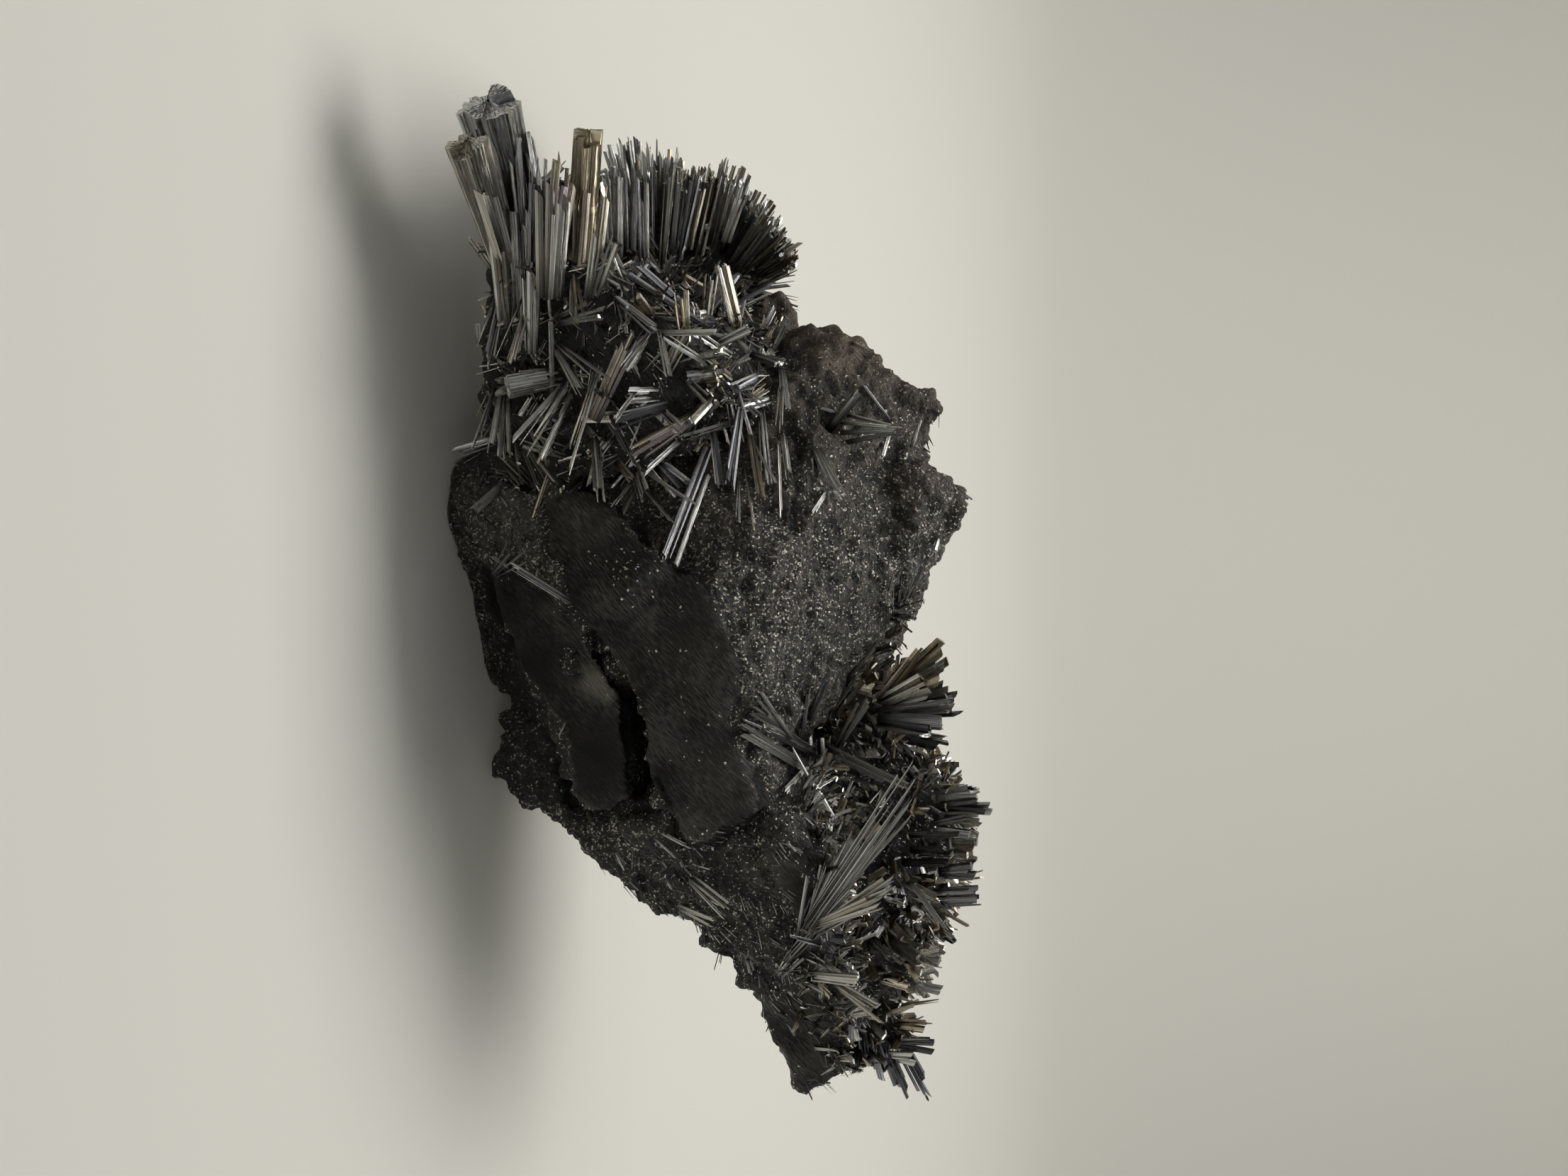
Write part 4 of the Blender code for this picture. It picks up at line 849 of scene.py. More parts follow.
# root and tip as they show, how much nearer the tip is, count, width, spread, bed, tone
LEFT_CRYSTALS = [
    # the comb's front, and the flag above the hollow
    ((-31.4, -5.6), (-38.5, -7.3), 3, 7, 1.0, 0.03, 0.8, 0.68),
    ((-31.6, -6.4), (-38.3, -7.9), 4, 2, 0.4, 0.01, 0.1, 0.28),
    ((-31.6, -4.2), (-36.4, -5.1), 2, 3, 0.8, 0.05, 0.4, 0.35),
    ((-32.1, -9.9), (-39.1, -17.5), 4, 4, 0.6, 0.03, 0.5, 0.22),
    ((-32.3, -9.2), (-31.8, -11.7), 3, 3, 0.6, 0.03, 0.3, 0.27),
    ((-30.8, -9.2), (-38.1, -19.8), 4, 3, 0.6, 0.03, 0.3, 0.08),
    ((-30.0, -14.8), (-34.3, -19.9), 4, 2, 0.5, 0.03, 0.15, 0.3),
    ((-42.9, -7.0), (-41.8, -10.2), 3, 3, 0.5, 0.06, 0.4, 0.3),
    ((-42.3, -13.0), (-46.9, -11.0), 3, 3, 0.6, 0.05, 0.4, 0.27),
    ((-38.9, -16.5), (-48.2, -16.7), 3, 5, 0.6, 0.05, 0.6, 0.27),
    ((-41.0, -19.3), (-47.4, -19.3), 3, 4, 0.6, 0.05, 0.5, 0.35),
    ((-51.0, -16.0), (-49.3, -21.8), 2, 2, 0.35, 0.02, 0.1, 0.5),
    ((-50.8, -18.6), (-49.6, -21.8), 2, 2, 0.35, 0.03, 0.1, 0.5),
    ((-48.7, -16.4), (-47.8, -20.6), 2, 2, 0.35, 0.03, 0.1, 0.3),
    ((-45.5, -18.6), (-52.4, -20.2), 1, 6, 0.5, 0.08, 0.7, 0.25),
    ((-40.8, -19.2), (-36.4, -20.6), 3, 3, 0.6, 0.04, 0.3, 0.3),
    ((-39.0, -20.6), (-50.8, -21.0), 3, 12, 0.8, 0.05, 1.2, 0.3),
    ((-40.0, -18.6), (-50.4, -18.6), 2, 9, 0.7, 0.06, 1.0, 0.2),
    # the middle, with the blade that widens downwards
    ((-20.9, -9.2), (-15.4, -17.9), 5, 12, 0.65, 0.12, 0.7, 0.84),
    ((-17.4, -12.5), (-13.7, -16.7), 5, 4, 0.6, 0.03, 0.4, 0.28),
    ((-21.6, -9.0), (-18.8, -11.6), 3, 4, 0.9, 0.03, 0.5, 0.4),
    ((-19.9, -20.2), (-13.7, -17.0), 4, 4, 0.5, 0.03, 0.3, 0.1),
    ((-20.3, -22.3), (-30.2, -17.8), 5, 10, 0.6, 0.02, 0.7, 0.84),
    ((-29.2, -16.4), (-25.4, -19.1), 4, 3, 0.5, 0.05, 0.3, 0.3),
    ((-25.6, -21.7), (-13.2, -25.6), 3, 5, 0.5, 0.02, 0.5, 0.5),
    ((-30.1, -14.5), (-30.3, -6.2), 4, 3, 0.45, 0.03, 0.3, 0.25),
    ((-30.5, -6.8), (-27.3, -3.6), 3, 3, 0.6, 0.03, 0.4, 0.3),
    ((-27.4, -3.7), (-26.4, 0.0), 3, 3, 0.6, 0.05, 0.3, 0.3),
    ((-26.6, -9.4), (-29.9, -14.6), 4, 3, 0.5, 0.05, 0.3, 0.3),
    ((-25.4, -7.4), (-24.8, -11.7), 3, 3, 0.7, 0.03, 0.3, 0.27),
    ((-24.3, -11.3), (-21.8, -8.7), 3, 3, 0.5, 0.04, 0.3, 0.25),
    ((-30.1, -14.5), (-24.4, -13.3), 3, 3, 0.5, 0.05, 0.3, 0.4),
    ((-34.1, -19.8), (-29.9, -14.6), 4, 4, 0.5, 0.05, 0.4, 0.3),
    ((-31.5, -8.4), (-32.1, -15.8), 4, 3, 0.5, 0.03, 0.3, 0.22),
    ((-21.7, -14.1), (-20.3, -19.9), 4, 3, 0.4, 0.05, 0.3, 0.25),
    ((-21.1, -14.1), (-19.2, -20.2), 4, 3, 0.4, 0.05, 0.3, 0.12),
    ((-23.5, -17.4), (-19.9, -20.5), 4, 3, 0.4, 0.06, 0.3, 0.3),
    ((-19.4, -6.2), (-17.4, -12.6), 4, 3, 0.5, 0.03, 0.3, 0.2),
    ((-28.6, -26.6), (-24.0, -21.6), 5, 7, 0.5, 0.2, 0.6, 0.3),
    ((-31.5, -26.0), (-33.0, -21.0), 5, 6, 0.6, 0.12, 0.5, 0.4),
    ((-34.5, -22.5), (-42.0, -20.6), 4, 7, 0.55, 0.14, 0.7, 0.4),
    ((-36.0, -24.4), (-30.6, -23.6), 5, 6, 0.7, 0.1, 0.6, 0.5),
    ((-23.0, -25.6), (-15.6, -30.0), 4, 8, 0.6, 0.16, 0.9, 0.5),
    ((-17.0, -31.0), (-12.0, -29.0), 4, 7, 0.5, 0.3, 0.7, 0.4),
    ((-33.6, -33.4), (-26.4, -35.2), 3, 7, 0.7, 0.12, 0.9, 0.3),
    ((-34.6, -30.0), (-26.0, -33.0), 3, 7, 0.5, 0.2, 0.8, 0.4),
    ((-23.0, -33.4), (-15.4, -34.8), 3, 8, 0.55, 0.15, 0.9, 0.3),
    ((-27.0, -1.6), (-31.6, 1.2), 2, 5, 0.6, 0.1, 0.5, 0.25),
    # sheaves and single laths that lie to the right over the slope
    ((-25.2, -0.2), (-20.5, 0.4), 2, 5, 0.6, 0.04, 0.4, 0.4),
    ((-23.3, -0.5), (-18.4, -0.9), 3, 4, 0.5, 0.05, 0.3, 0.5),
    ((-17.8, -0.2), (-12.5, 0.4), 2, 4, 0.5, 0.04, 0.3, 0.4),
    ((-16.8, -0.6), (-8.0, -0.3), 3, 2, 0.35, 0.01, 0.15, 0.5),
    ((-17.4, -3.7), (-11.6, -0.3), 3, 2, 0.35, 0.02, 0.15, 0.3),
    ((-18.2, -4.3), (-9.8, -3.1), 4, 8, 0.5, 0.05, 0.6, 0.66),
    ((-20.6, -2.6), (-11.6, -1.8), 3, 6, 0.45, 0.06, 0.5, 0.5),
    ((-13.7, -4.5), (-6.4, -3.3), 3, 2, 0.35, 0.02, 0.15, 0.6),
    ((-12.5, -5.3), (-7.4, -5.4), 3, 2, 0.35, 0.03, 0.15, 0.3),
    ((-20.7, -5.1), (-11.5, -6.4), 4, 6, 0.6, 0.06, 0.7, 0.08),
    ((-22.1, -2.1), (-21.1, -5.2), 3, 3, 0.9, 0.01, 0.3, 0.3),
    ((-25.0, -3.3), (-23.5, -6.5), 3, 3, 0.7, 0.04, 0.4, 0.3),
    ((-18.4, -8.2), (-11.8, -7.4), 3, 6, 0.6, 0.02, 0.5, 0.25),
    ((-16.2, -9.0), (-2.9, -14.1), 3, 4, 0.7, 0.006, 0.35, 0.27),
    ((-13.0, -9.0), (-1.9, -12.8), 3, 3, 0.6, 0.006, 0.15, 0.27),
    ((-13.7, -16.6), (-9.3, -10.2), 5, 3, 0.35, 0.012, 0.3, 0.27),
    ((-12.7, -17.2), (-7.9, -12.8), 4, 3, 0.3, 0.06, 0.3, 0.27),
    ((-12.2, -16.0), (-8.2, -14.4), 4, 2, 0.3, 0.05, 0.2, 0.3),
    ((-17.2, -22.1), (-9.8, -21.5), 3, 5, 0.5, 0.05, 0.4, 0.4),
    ((-12.5, -17.4), (-8.5, -19.9), 3, 4, 0.4, 0.1, 0.4, 0.3),
    # below the upper prism
    ((-22.7, -27.3), (-32.4, -27.6), 4, 2, 0.5, 0.01, 0.15, 0.3),
    ((-32.2, -27.6), (-42.9, -28.3), 4, 2, 0.5, 0.01, 0.15, 0.3),
    ((-36.0, -27.3), (-50.5, -25.3), 4, 10, 0.8, 0.03, 1.0, 0.86),
    ((-34.4, -27.4), (-47.2, -26.8), 5, 9, 0.9, 0.05, 1.1, 0.45),
    ((-35.0, -28.8), (-48.6, -28.0), 4, 8, 0.8, 0.05, 1.0, 0.1),
    ((-39.0, -29.2), (-51.6, -29.4), 4, 6, 0.6, 0.06, 0.8, 0.2),
    ((-41.0, -30.4), (-53.6, -31.3), 4, 5, 0.6, 0.06, 0.6, 0.25),
    ((-32.0, -30.6), (-44.6, -31.0), 5, 8, 0.8, 0.06, 1.0, 0.3),
    ((-30.0, -32.2), (-42.0, -33.0), 5, 8, 0.8, 0.08, 1.0, 0.4),
    ((-28.0, -29.6), (-38.0, -29.6), 4, 7, 0.7, 0.08, 0.9, 0.4),
]
print("left thicket:", len(COMB), "teeth and", len(LEFT_CRYSTALS), "sheaves with a place of their own")

# %% Left thicket: the comb
COMB_DEPTHS = (-19, -15.5, -12, -8.5, -5, -1, 3, 7, 11, 15)  # of its rows, in mm
TOOTH_GAP = 1.1
rng = np.random.default_rng(20)
comb = []
for (root_a, tip_a), (root_b, tip_b) in zip(COMB, COMB[1:]):
    steps = max(2, round((Vector(tip_b) - Vector(tip_a)).length / TOOTH_GAP))
    for i in range(steps):
        for depth in COMB_DEPTHS:
            share = (i + rng.uniform(0, 1)) / steps
            root, tip = Vector(root_a).lerp(root_b, share), Vector(tip_a).lerp(tip_b, share)
            front = np.interp(tip.y, [-20, -10, 2], [-19, -16, -9])
            if depth < front:
                continue
            reach = rng.uniform(0.72, 1.0) if depth < 12 else rng.uniform(0.6, 0.9)
            start = seen(*root.lerp(tip, rng.uniform(0, 0.25)), depth + rng.uniform(2, 5))
            in_front_row = depth < front + 3.5
            comb.append(spray(start, seen(*root.lerp(tip, reach), depth + rng.uniform(-1.5, 1.5)),
                              4 if in_front_row else 3, 0.7, spread=0.06,
                              bed=0.6 if in_front_row else 0.8, tone=rng.uniform(0.1, 0.6), turn=0.7))
grow("left_thicket_comb", comb, "zinkenite", ("left_thicket",), 3)

# %% Left thicket: sheaves, bundles and needles
left_tree = tree_of(rock.data, left_bed.data)
left_middle = Vector((-32.0, 14.0, 22.0))
heroes = [shown(left_tree, *row[:6], bed=row[6], tone=row[7], rise=2.2) for row in LEFT_CRYSTALS]


def seldom_below(points, normals):
    """Few crystals hang from an underside."""
    return np.where(normals[:, 2] < -0.35, 0.08, np.where(normals[:, 1] < 0.2, 1.0, 0.6))


def criss_cross(root, normal, chance):
    """Nearly any direction along the bed."""
    return normal * 0.1 + chance + (root - left_middle).normalized() * 0.2


def bristling(root, normal, chance):
    """Any direction that leaves the bed."""
    return normal * 0.3 + chance + (root - left_middle).normalized() * 0.2


bundles = sown(rng, left_bed.data, 380, seldom_below, criss_cross, 5.2, 0.6, 5, spread=0.05, bed=0.7,
               tone=(0.1, 0.7))
straw = sown(rng, left_bed.data, 1000, seldom_below, bristling, 3.2, 0.34, 3, spread=0.22, bed=0.5,
             tone=(0.1, 0.7))
grow("left_thicket_sheaves", heroes, "zinkenite", ("left_thicket",), 4)
grow("left_thicket_bundles", bundles, "zinkenite", ("left_thicket",), 15)
grow("left_thicket_needles", straw, "zinkenite", ("left_thicket",), 5)

# %% [markdown]
# ## The right thicket
# A fan of flat laths with square ends stands at its left. The top is a jumble of short upright crystals,
# a sheaf like a feather lies along its front, and its right end is a dark bundle that points up.

# %% Right thicket: what has a place of its own
# root and tip of each lath of the fan, as they show
FAN = [
    ((11.6, 12.4), (5.2, 17.4)),
    ((12.0, 13.0), (6.2, 19.5)),
    ((12.6, 13.2), (9.1, 19.8)),
    ((13.2, 13.2), (10.6, 20.3)),
    ((13.8, 13.0), (12.6, 21.4)),
    ((14.8, 13.0), (14.3, 21.5)),
    ((15.8, 12.8), (16.8, 20.5)),
    ((17.0, 12.8), (18.8, 20.6)),
]
RIGHT_CRYSTALS = [
    # the sheaf that is like a feather
    ((39.6, 3.0), (21.7, 15.3), 2, 5, 0.3, 0.03, 0.7, 0.26),
    ((40.2, 2.8), (23.2, 14.7), 2, 5, 0.3, 0.03, 0.7, 0.2),
    ((40.8, 2.6), (25.2, 14.4), 1, 5, 0.3, 0.04, 0.7, 0.34),
    ((38.4, 4.0), (26.8, 13.6), 1, 5, 0.3, 0.05, 0.7, 0.3),
    ((37.0, 5.0), (24.4, 13.8), 2, 5, 0.3, 0.05, 0.7, 0.22),
    ((41.0, 2.4), (28.4, 11.4), 1, 6, 0.3, 0.04, 0.8, 0.22),
    ((40.6, 2.4), (28.6, 8.8), 1, 5, 0.3, 0.04, 0.7, 0.34),
    ((40.2, 2.4), (30.0, 6.4), 1, 5, 0.3, 0.05, 0.7, 0.2),
    ((40.0, 2.2), (31.6, 4.0), 1, 5, 0.3, 0.05, 0.6, 0.3),
    ((40.4, 1.6), (33.0, 2.8), 1, 4, 0.3, 0.05, 0.4, 0.26),
    ((44.0, 0.4), (38.4, 5.4), 2, 6, 0.3, 0.06, 0.7, 0.3),
    ((43.6, 0.6), (35.0, 8.0), 2, 6, 0.3, 0.05, 0.7, 0.26),
    ((43.0, 1.4), (33.6, 10.6), 2, 6, 0.3, 0.05, 0.7, 0.2),
    ((45.2, -0.4), (42.6, 1.6), 3, 6, 0.35, 0.1, 0.5, 0.27),
    ((39.7, 4.0), (37.0, 12.2), 4, 6, 0.5, 0.08, 0.6, 0.45),
    ((40.0, 4.4), (34.6, 13.4), 4, 6, 0.5, 0.06, 0.6, 0.35),
    ((45.4, 3.4), (45.8, 9.4), 4, 4, 0.8, 0.06, 0.6, 0.35),
    ((41.6, 10.2), (44.8, 13.0), 3, 4, 0.5, 0.1, 0.5, 0.27),
    ((46.6, 6.0), (50.6, 11.6), 3, 5, 0.5, 0.1, 0.6, 0.4),
    # the crest, from the left to the right
    ((24.6, 18.4), (24.2, 23.2), 1, 3, 1.2, 0.2, 0.4, 0.3),
    ((25.6, 18.8), (25.4, 24.4), 1, 4, 1.2, 0.2, 0.5, 0.12),
    ((26.8, 18.8), (26.7, 23.8), 1, 3, 1.0, 0.2, 0.4, 0.5),
    ((28.0, 18.0), (27.6, 22.9), 1, 3, 1.0, 0.2, 0.4, 0.1),
    ((29.0, 15.0), (29.0, 20.6), 3, 2, 1.1, 0.01, 0.2, 0.1),
    ((30.9, 15.2), (30.9, 20.4), 3, 2, 1.0, 0.01, 0.2, 0.2),
    ((32.3, 14.4), (32.3, 20.8), 3, 2, 1.0, 0.01, 0.2, 0.12),
    ((31.5, 15.6), (31.6, 20.6), 4, 1, 0.35, 0.0, 0.0, 0.68),
    ((29.6, 19.2), (29.2, 23.2), 1, 3, 1.0, 0.2, 0.4, 0.3),
    ((30.8, 19.2), (31.0, 23.1), 1, 3, 1.2, 0.2, 0.5, 0.5),
    ((33.4, 18.4), (33.5, 22.5), 1, 3, 1.2, 0.2, 0.4, 0.1),
    ((36.6, 17.2), (36.4, 23.4), 0, 8, 0.9, 0.02, 0.9, 0.06),
    ((37.6, 17.8), (39.9, 21.7), 1, 2, 0.45, 0.02, 0.1, 0.5),
    ((39.5, 18.0), (41.9, 20.5), 1, 2, 0.4, 0.03, 0.1, 0.5),
    ((34.5, 14.7), (40.5, 18.8), 3, 3, 0.6, 0.02, 0.3, 0.4),
    ((36.9, 16.0), (39.1, 17.2), 3, 4, 0.4, 0.1, 0.3, 0.27),
    ((41.5, 13.6), (44.9, 17.8), 3, 3, 0.4, 0.05, 0.3, 0.4),
    ((43.6, 15.0), (43.4, 19.2), 1, 3, 1.0, 0.2, 0.4, 0.3),
    ((46.0, 14.2), (46.0, 18.8), 1, 3, 1.0, 0.2, 0.4, 0.1),
    ((50.5, 10.3), (48.9, 15.7), 3, 2, 0.6, 0.02, 0.15, 0.6),
    ((49.2, 14.2), (48.5, 18.2), 2, 2, 0.55, 0.02, 0.1, 0.6),
    ((51.6, 13.4), (52.3, 17.3), 1, 4, 0.8, 0.12, 0.6, 0.6),
    ((53.6, 13.4), (54.3, 17.6), 1, 3, 0.8, 0.12, 0.5, 0.1),
    ((55.0, 12.4), (55.7, 15.8), 1, 3, 1.0, 0.2, 0.4, 0.3),
    ((41.0, 12.0), (43.4, 16.4), 4, 6, 0.8, 0.1, 0.6, 0.35),
]
DARK_BUNDLES = [
    ((53.4, 12.8), (61.0, 16.6), 0, 10, 0.75, 0.07, 1.1, 0.0),
    ((54.0, 11.4), (59.6, 13.4), 1, 9, 0.75, 0.1, 1.0, 0.0),
    ((52.0, 9.6), (57.0, 10.6), 1, 8, 0.7, 0.14, 1.0, 0.05),
    ((54.0, 8.6), (57.0, 7.4), 0, 8, 0.7, 0.14, 1.0, 0.05),
]
# where small laths cover the rock in front of the bed
THICKET_FRONT = [
    (17.0, 7.0), (21.0, 15.0), (46.0, 15.0), (56.0, 12.0), (56.5, 5.0), (50.0, 2.0), (45.0, 0.4),
    (41.0, 1.5), (38.5, 5.0), (33.0, 4.6), (29.0, 3.0), (24.0, 2.0), (20.0, 3.0),
]
SPRAY_IN_THE_MIDDLE = [
    ((10.6, 7.6), (6.0, 11.7), 4, 2, 0.45, 0.01, 0.15, 0.27),
    ((17.2, 4.1), (9.4, 9.9), 4, 4, 0.52, 0.02, 0.4, 0.4),
    ((15.3, 3.1), (9.7, 5.6), 5, 3, 0.78, 0.02, 0.25, 0.25),
    ((17.2, 2.3), (11.3, 3.1), 4, 3, 0.78, 0.02, 0.25, 0.25),
    ((11.8, 5.8), (9.1, 6.6), 3, 2, 0.52, 0.02, 0.1, 0.3),
    ((17.8, 1.8), (11.0, -0.8), 5, 3, 0.52, 0.04, 0.3, 0.35),
    ((18.4, 4.3), (23.3, 14.6), 5, 7, 0.65, 0.02, 0.55, 0.27),
    ((19.4, 3.6), (15.0, -3.4), 7, 6, 0.59, 0.05, 0.4, 0.25),
    ((17.4, 0.8), (12.1, -2.9), 6, 4, 0.65, 0.05, 0.3, 0.25),
    ((21.0, 2.6), (15.9, -5.8), 7, 5, 0.78, 0.02, 0.4, 0.28),
    ((28.0, 6.2), (23.0, 3.3), 4, 2, 0.65, 0.01, 0.1, 0.3),
    ((23.4, 3.5), (17.8, 0.4), 4, 2, 0.65, 0.01, 0.1, 0.3),
    ((20.6, 3.0), (24.4, -0.6), 4, 2, 0.65, 0.1, 0.3, 0.3),
    ((18.8, 6.0), (12.6, 9.6), 4, 4, 0.59, 0.08, 0.4, 0.4),
    ((17.6, 0.4), (14.6, -5.6), 6, 3, 0.52, 0.06, 0.2, 0.3),
]
print("right thicket:", len(FAN), "laths and", len(RIGHT_CRYSTALS + DARK_BUNDLES), "sheaves")

# %% Right thicket: fan, sheaves and jumble
right_tree = tree_of(rock.data, right_bed.data)
right_fan = []
for (root_a, tip_a), (root_b, tip_b) in zip(FAN, FAN[1:]):
    for depth in (1, 4, 7, 10):
        share = rng.uniform(0, 1)
        root, tip = Vector(root_a).lerp(root_b, share), Vector(tip_a).lerp(tip_b, share)
        reach = rng.uniform(0.86, 1.0) if depth in (4, 7) else rng.uniform(0.6, 0.85)
        bronze = np.interp(tip.x, [5, 9, 14], [0.68, 0.55, 0.12]) + rng.uniform(-0.1, 0.12)
        right_fan.append(spray(seen(*root.lerp(tip, -0.2), depth + 2),
                               seen(*root.lerp(tip, reach), depth), 2, 1.5,
                               spread=0.04, bed=0.4, flat=0.35, tone=bronze, turn=0.5))
heroes = [shown(right_tree, *row[:6], bed=row[6], tone=row[7], rise=0.8) for row in RIGHT_CRYSTALS]
heroes += [shown(right_tree, *row[:6], bed=row[6], tone=row[7], turn=1.0, stagger=2.5)
           for row in DARK_BUNDLES]
jumble = sown(rng, right_bed.data, 900, lambda p, n: np.where(n[:, 2] > 0.1, 1.0, 0.6),
              lambda root, normal, chance: normal * 0.5 + chance * 0.9 + Vector((0.1, -0.1, 0.3)),
              3.4, 0.95, 2, spread=0.3, bed=0.7, flat=0.28, tone=(0.1, 0.75))
front = sown(rng, rock.data, 700, lambda p, n: inside(in_picture(p)[0], THICKET_FRONT) * (n[:, 1] < 0.4),
             lambda root, normal, chance: normal * 0.45 + chance * 0.7 - RIGHT * 0.4 + UP * 0.35,
             3.2, 0.6, 3, spread=0.25, bed=0.6, flat=0.3, tone=(0.1, 0.7))
middle = [shown(right_tree, *row[:6], bed=row[6], tone=row[7], rise=0.8)
          for row in SPRAY_IN_THE_MIDDLE]
grow("right_thicket_fan", right_fan, "zinkenite", ("right_thicket",), 6)
grow("right_thicket_sheaves", heroes, "zinkenite", ("right_thicket",), 7)
grow("right_thicket_jumble", jumble + front, "zinkenite", ("right_thicket",), 8)
grow("middle_spray_crystals", middle, "zinkenite", ("middle_spray",), 9)

# %% [markdown]
# ## Small groups on the slope, and needles on the rock
# Two rosettes sit on the slope, and a row of short crystals follows the ridge. The right wing, the
# underside and the back are matted with fine needles that lie almost flat on the rock.

# %% Rosettes and ridge row: what has a place of its own
UPPER_ROSETTE = [
    ((-20.5, 7.2), (-19.0, 13.5), 2, 2, 0.55, 0.02, 0.2, 0.27),
    ((-19.5, 6.8), (-18.9, 13.8), 2, 2, 0.55, 0.01, 0.2, 0.27),
    ((-18.3, 7.0), (-18.7, 13.8), 2, 2, 0.5, 0.01, 0.15, 0.3),
    ((-17.2, 7.6), (-18.3, 13.4), 2, 2, 0.5, 0.01, 0.15, 0.3),
    ((-18.7, 5.2), (-23.5, 9.1), 3, 4, 0.75, 0.02, 0.4, 0.25),
    ((-20.1, 12.2), (-24.0, 9.3), 2, 2, 0.35, 0.03, 0.15, 0.27),
    ((-17.9, 12.2), (-15.0, 11.3), 2, 4, 0.5, 0.04, 0.3, 0.25),
    ((-20.6, 6.2), (-21.3, 3.6), 1, 2, 0.4, 0.04, 0.2, 0.3),
]
LOWER_ROSETTE = [
    ((-15.9, 4.1), (-9.7, 7.5), 3, 6, 0.75, 0.04, 0.55, 0.25),
    ((-15.6, 3.8), (-11.6, 5.6), 3, 4, 0.75, 0.06, 0.4, 0.28),
    ((-15.4, 3.6), (-12.4, 3.8), 2, 3, 0.4, 0.1, 0.3, 0.3),
    ((-10.7, 4.6), (-8.1, 3.0), 3, 4, 0.5, 0.05, 0.35, 0.25),
]
RIDGE_ROW = [
    ((0.9, 14.7), (-3.3, 16.3), 3, 4, 0.5, 0.04, 0.3, 0.27),
    ((-0.1, 12.4), (-2.1, 12.9), 2, 3, 0.5, 0.04, 0.3, 0.25),
    ((1.4, 14.2), (-1.3, 15.2), 3, 4, 0.3, 0.15, 0.3, 0.3),
    ((1.8, 13.4), (-1.2, 13.8), 3, 4, 0.3, 0.15, 0.3, 0.3),
    ((2.2, 13.6), (1.2, 15.4), 3, 4, 0.3, 0.2, 0.3, 0.4),
    ((3.4, 13.0), (4.3, 15.2), 3, 5, 0.4, 0.2, 0.4, 0.5),
    ((2.6, 12.8), (-0.6, 12.2), 3, 4, 0.3, 0.15, 0.3, 0.3),
    ((5.6, 12.2), (4.4, 14.2), 2, 5, 0.5, 0.2, 0.5, 0.5),
    ((7.4, 11.2), (6.8, 13.2), 2, 6, 0.5, 0.25, 0.6, 0.3),
    ((-5.7, 18.1), (-4.0, 17.6), 1, 3, 0.45, 0.06, 0.25, 0.27),
    ((-16.5, 15.1), (-20.8, 16.5), 1, 2, 0.5, 0.02, 0.15, 0.27),
]
ELSEWHERE = [
    ((1.8, -25.1), (-3.2, -33.2), 2, 4, 0.4, 0.015, 0.3, 0.27),
    ((-2.4, -31.8), (-4.8, -34.4), 2, 5, 0.35, 0.2, 0.3, 0.27),
    ((-1.6, -34.0), (-4.8, -30.4), 2, 5, 0.35, 0.2, 0.4, 0.3),
    ((15.9, -25.7), (18.4, -26.9), 1, 2, 0.4, 0.04, 0.1, 0.3),
    ((29.0, -15.0), (31.6, -11.4), 1, 4, 0.3, 0.15, 0.5, 0.3),
    ((-28.5, 8.0), (-27.1, 9.9), 1, 5, 0.35, 0.15, 0.4, 0.27),
    ((34.2, -10.8), (38.2, -6.0), 1, 6, 0.35, 0.12, 0.8, 0.4),
    ((37.6, -12.0), (39.4, -7.8), 1, 5, 0.35, 0.15, 0.6, 0.4),
]
print("small groups:", len(UPPER_ROSETTE + LOWER_ROSETTE + RIDGE_ROW + ELSEWHERE), "sheaves")

# %% Rosettes, ridge row and matted needles
surface_tree = tree_of(rock.data)


def lying(root, normal, chance):
    """A direction along the rock that follows the grain from the lower left to the upper right."""
    grain_line = RIGHT * 0.7 + UP * 0.6 + chance * 0.55
    return grain_line - normal * grain_line.dot(normal)


def where_rough(points, normals):
    """Where needles mat the rock: the right wing, the back and the lower left, but not the slope."""
    places, toward = in_picture(points)
    facing = np.sum(normals * toward, axis=1)
    on_wing = (places[:, 0] + 0.2 * places[:, 1] > 27) & (patch(places, WING_PATCH, 0.5) < 0.5)
    on_left = (places[:, 0] < -12) & (places[:, 1] < -14) | (places[:, 0] < -2) & (places[:, 1] < -29.5)
    behind = (facing < -0.6) & (points[:, 1] > 10)
    return ((facing > 0.15) & (on_wing | on_left) | behind) * (points[:, 2] > 2.5)


mat = sown(rng, rock.data, 1600, where_rough, lying, 2.2, 0.22, 3, spread=0.08, bed=0.6, tone=(0.0, 0.2))
for name, rows, node, seed in (("upper_rosette_crystals", UPPER_ROSETTE, "rosette_upper", 10),
                               ("lower_rosette_crystals", LOWER_ROSETTE, "rosette_lower", 11),
                               ("ridge_row_crystals", RIDGE_ROW, "ridge_row", 12)):
    grow(name, [shown(surface_tree, *row[:6], bed=row[6], tone=row[7], rise=0.4) for row in rows],
         "zinkenite", (node,), seed)
grow("scattered_crystals", [shown(surface_tree, *row[:6], bed=row[6], tone=row[7]) for row in ELSEWHERE],
     "zinkenite", (), 13)
grow("matted_needles", mat, "zinkenite", (), 14)

# %% [markdown]
# ## The stout prisms
# Three prisms and a stub stick out at the lower left. Each is many crystals grown side by side, so its
# section has ribs, it widens a little towards its end, and it breaks off in steps. The section is a
# hexagon with ribs that stand proud by chance, and every few ribs make a rod with an end of its own.


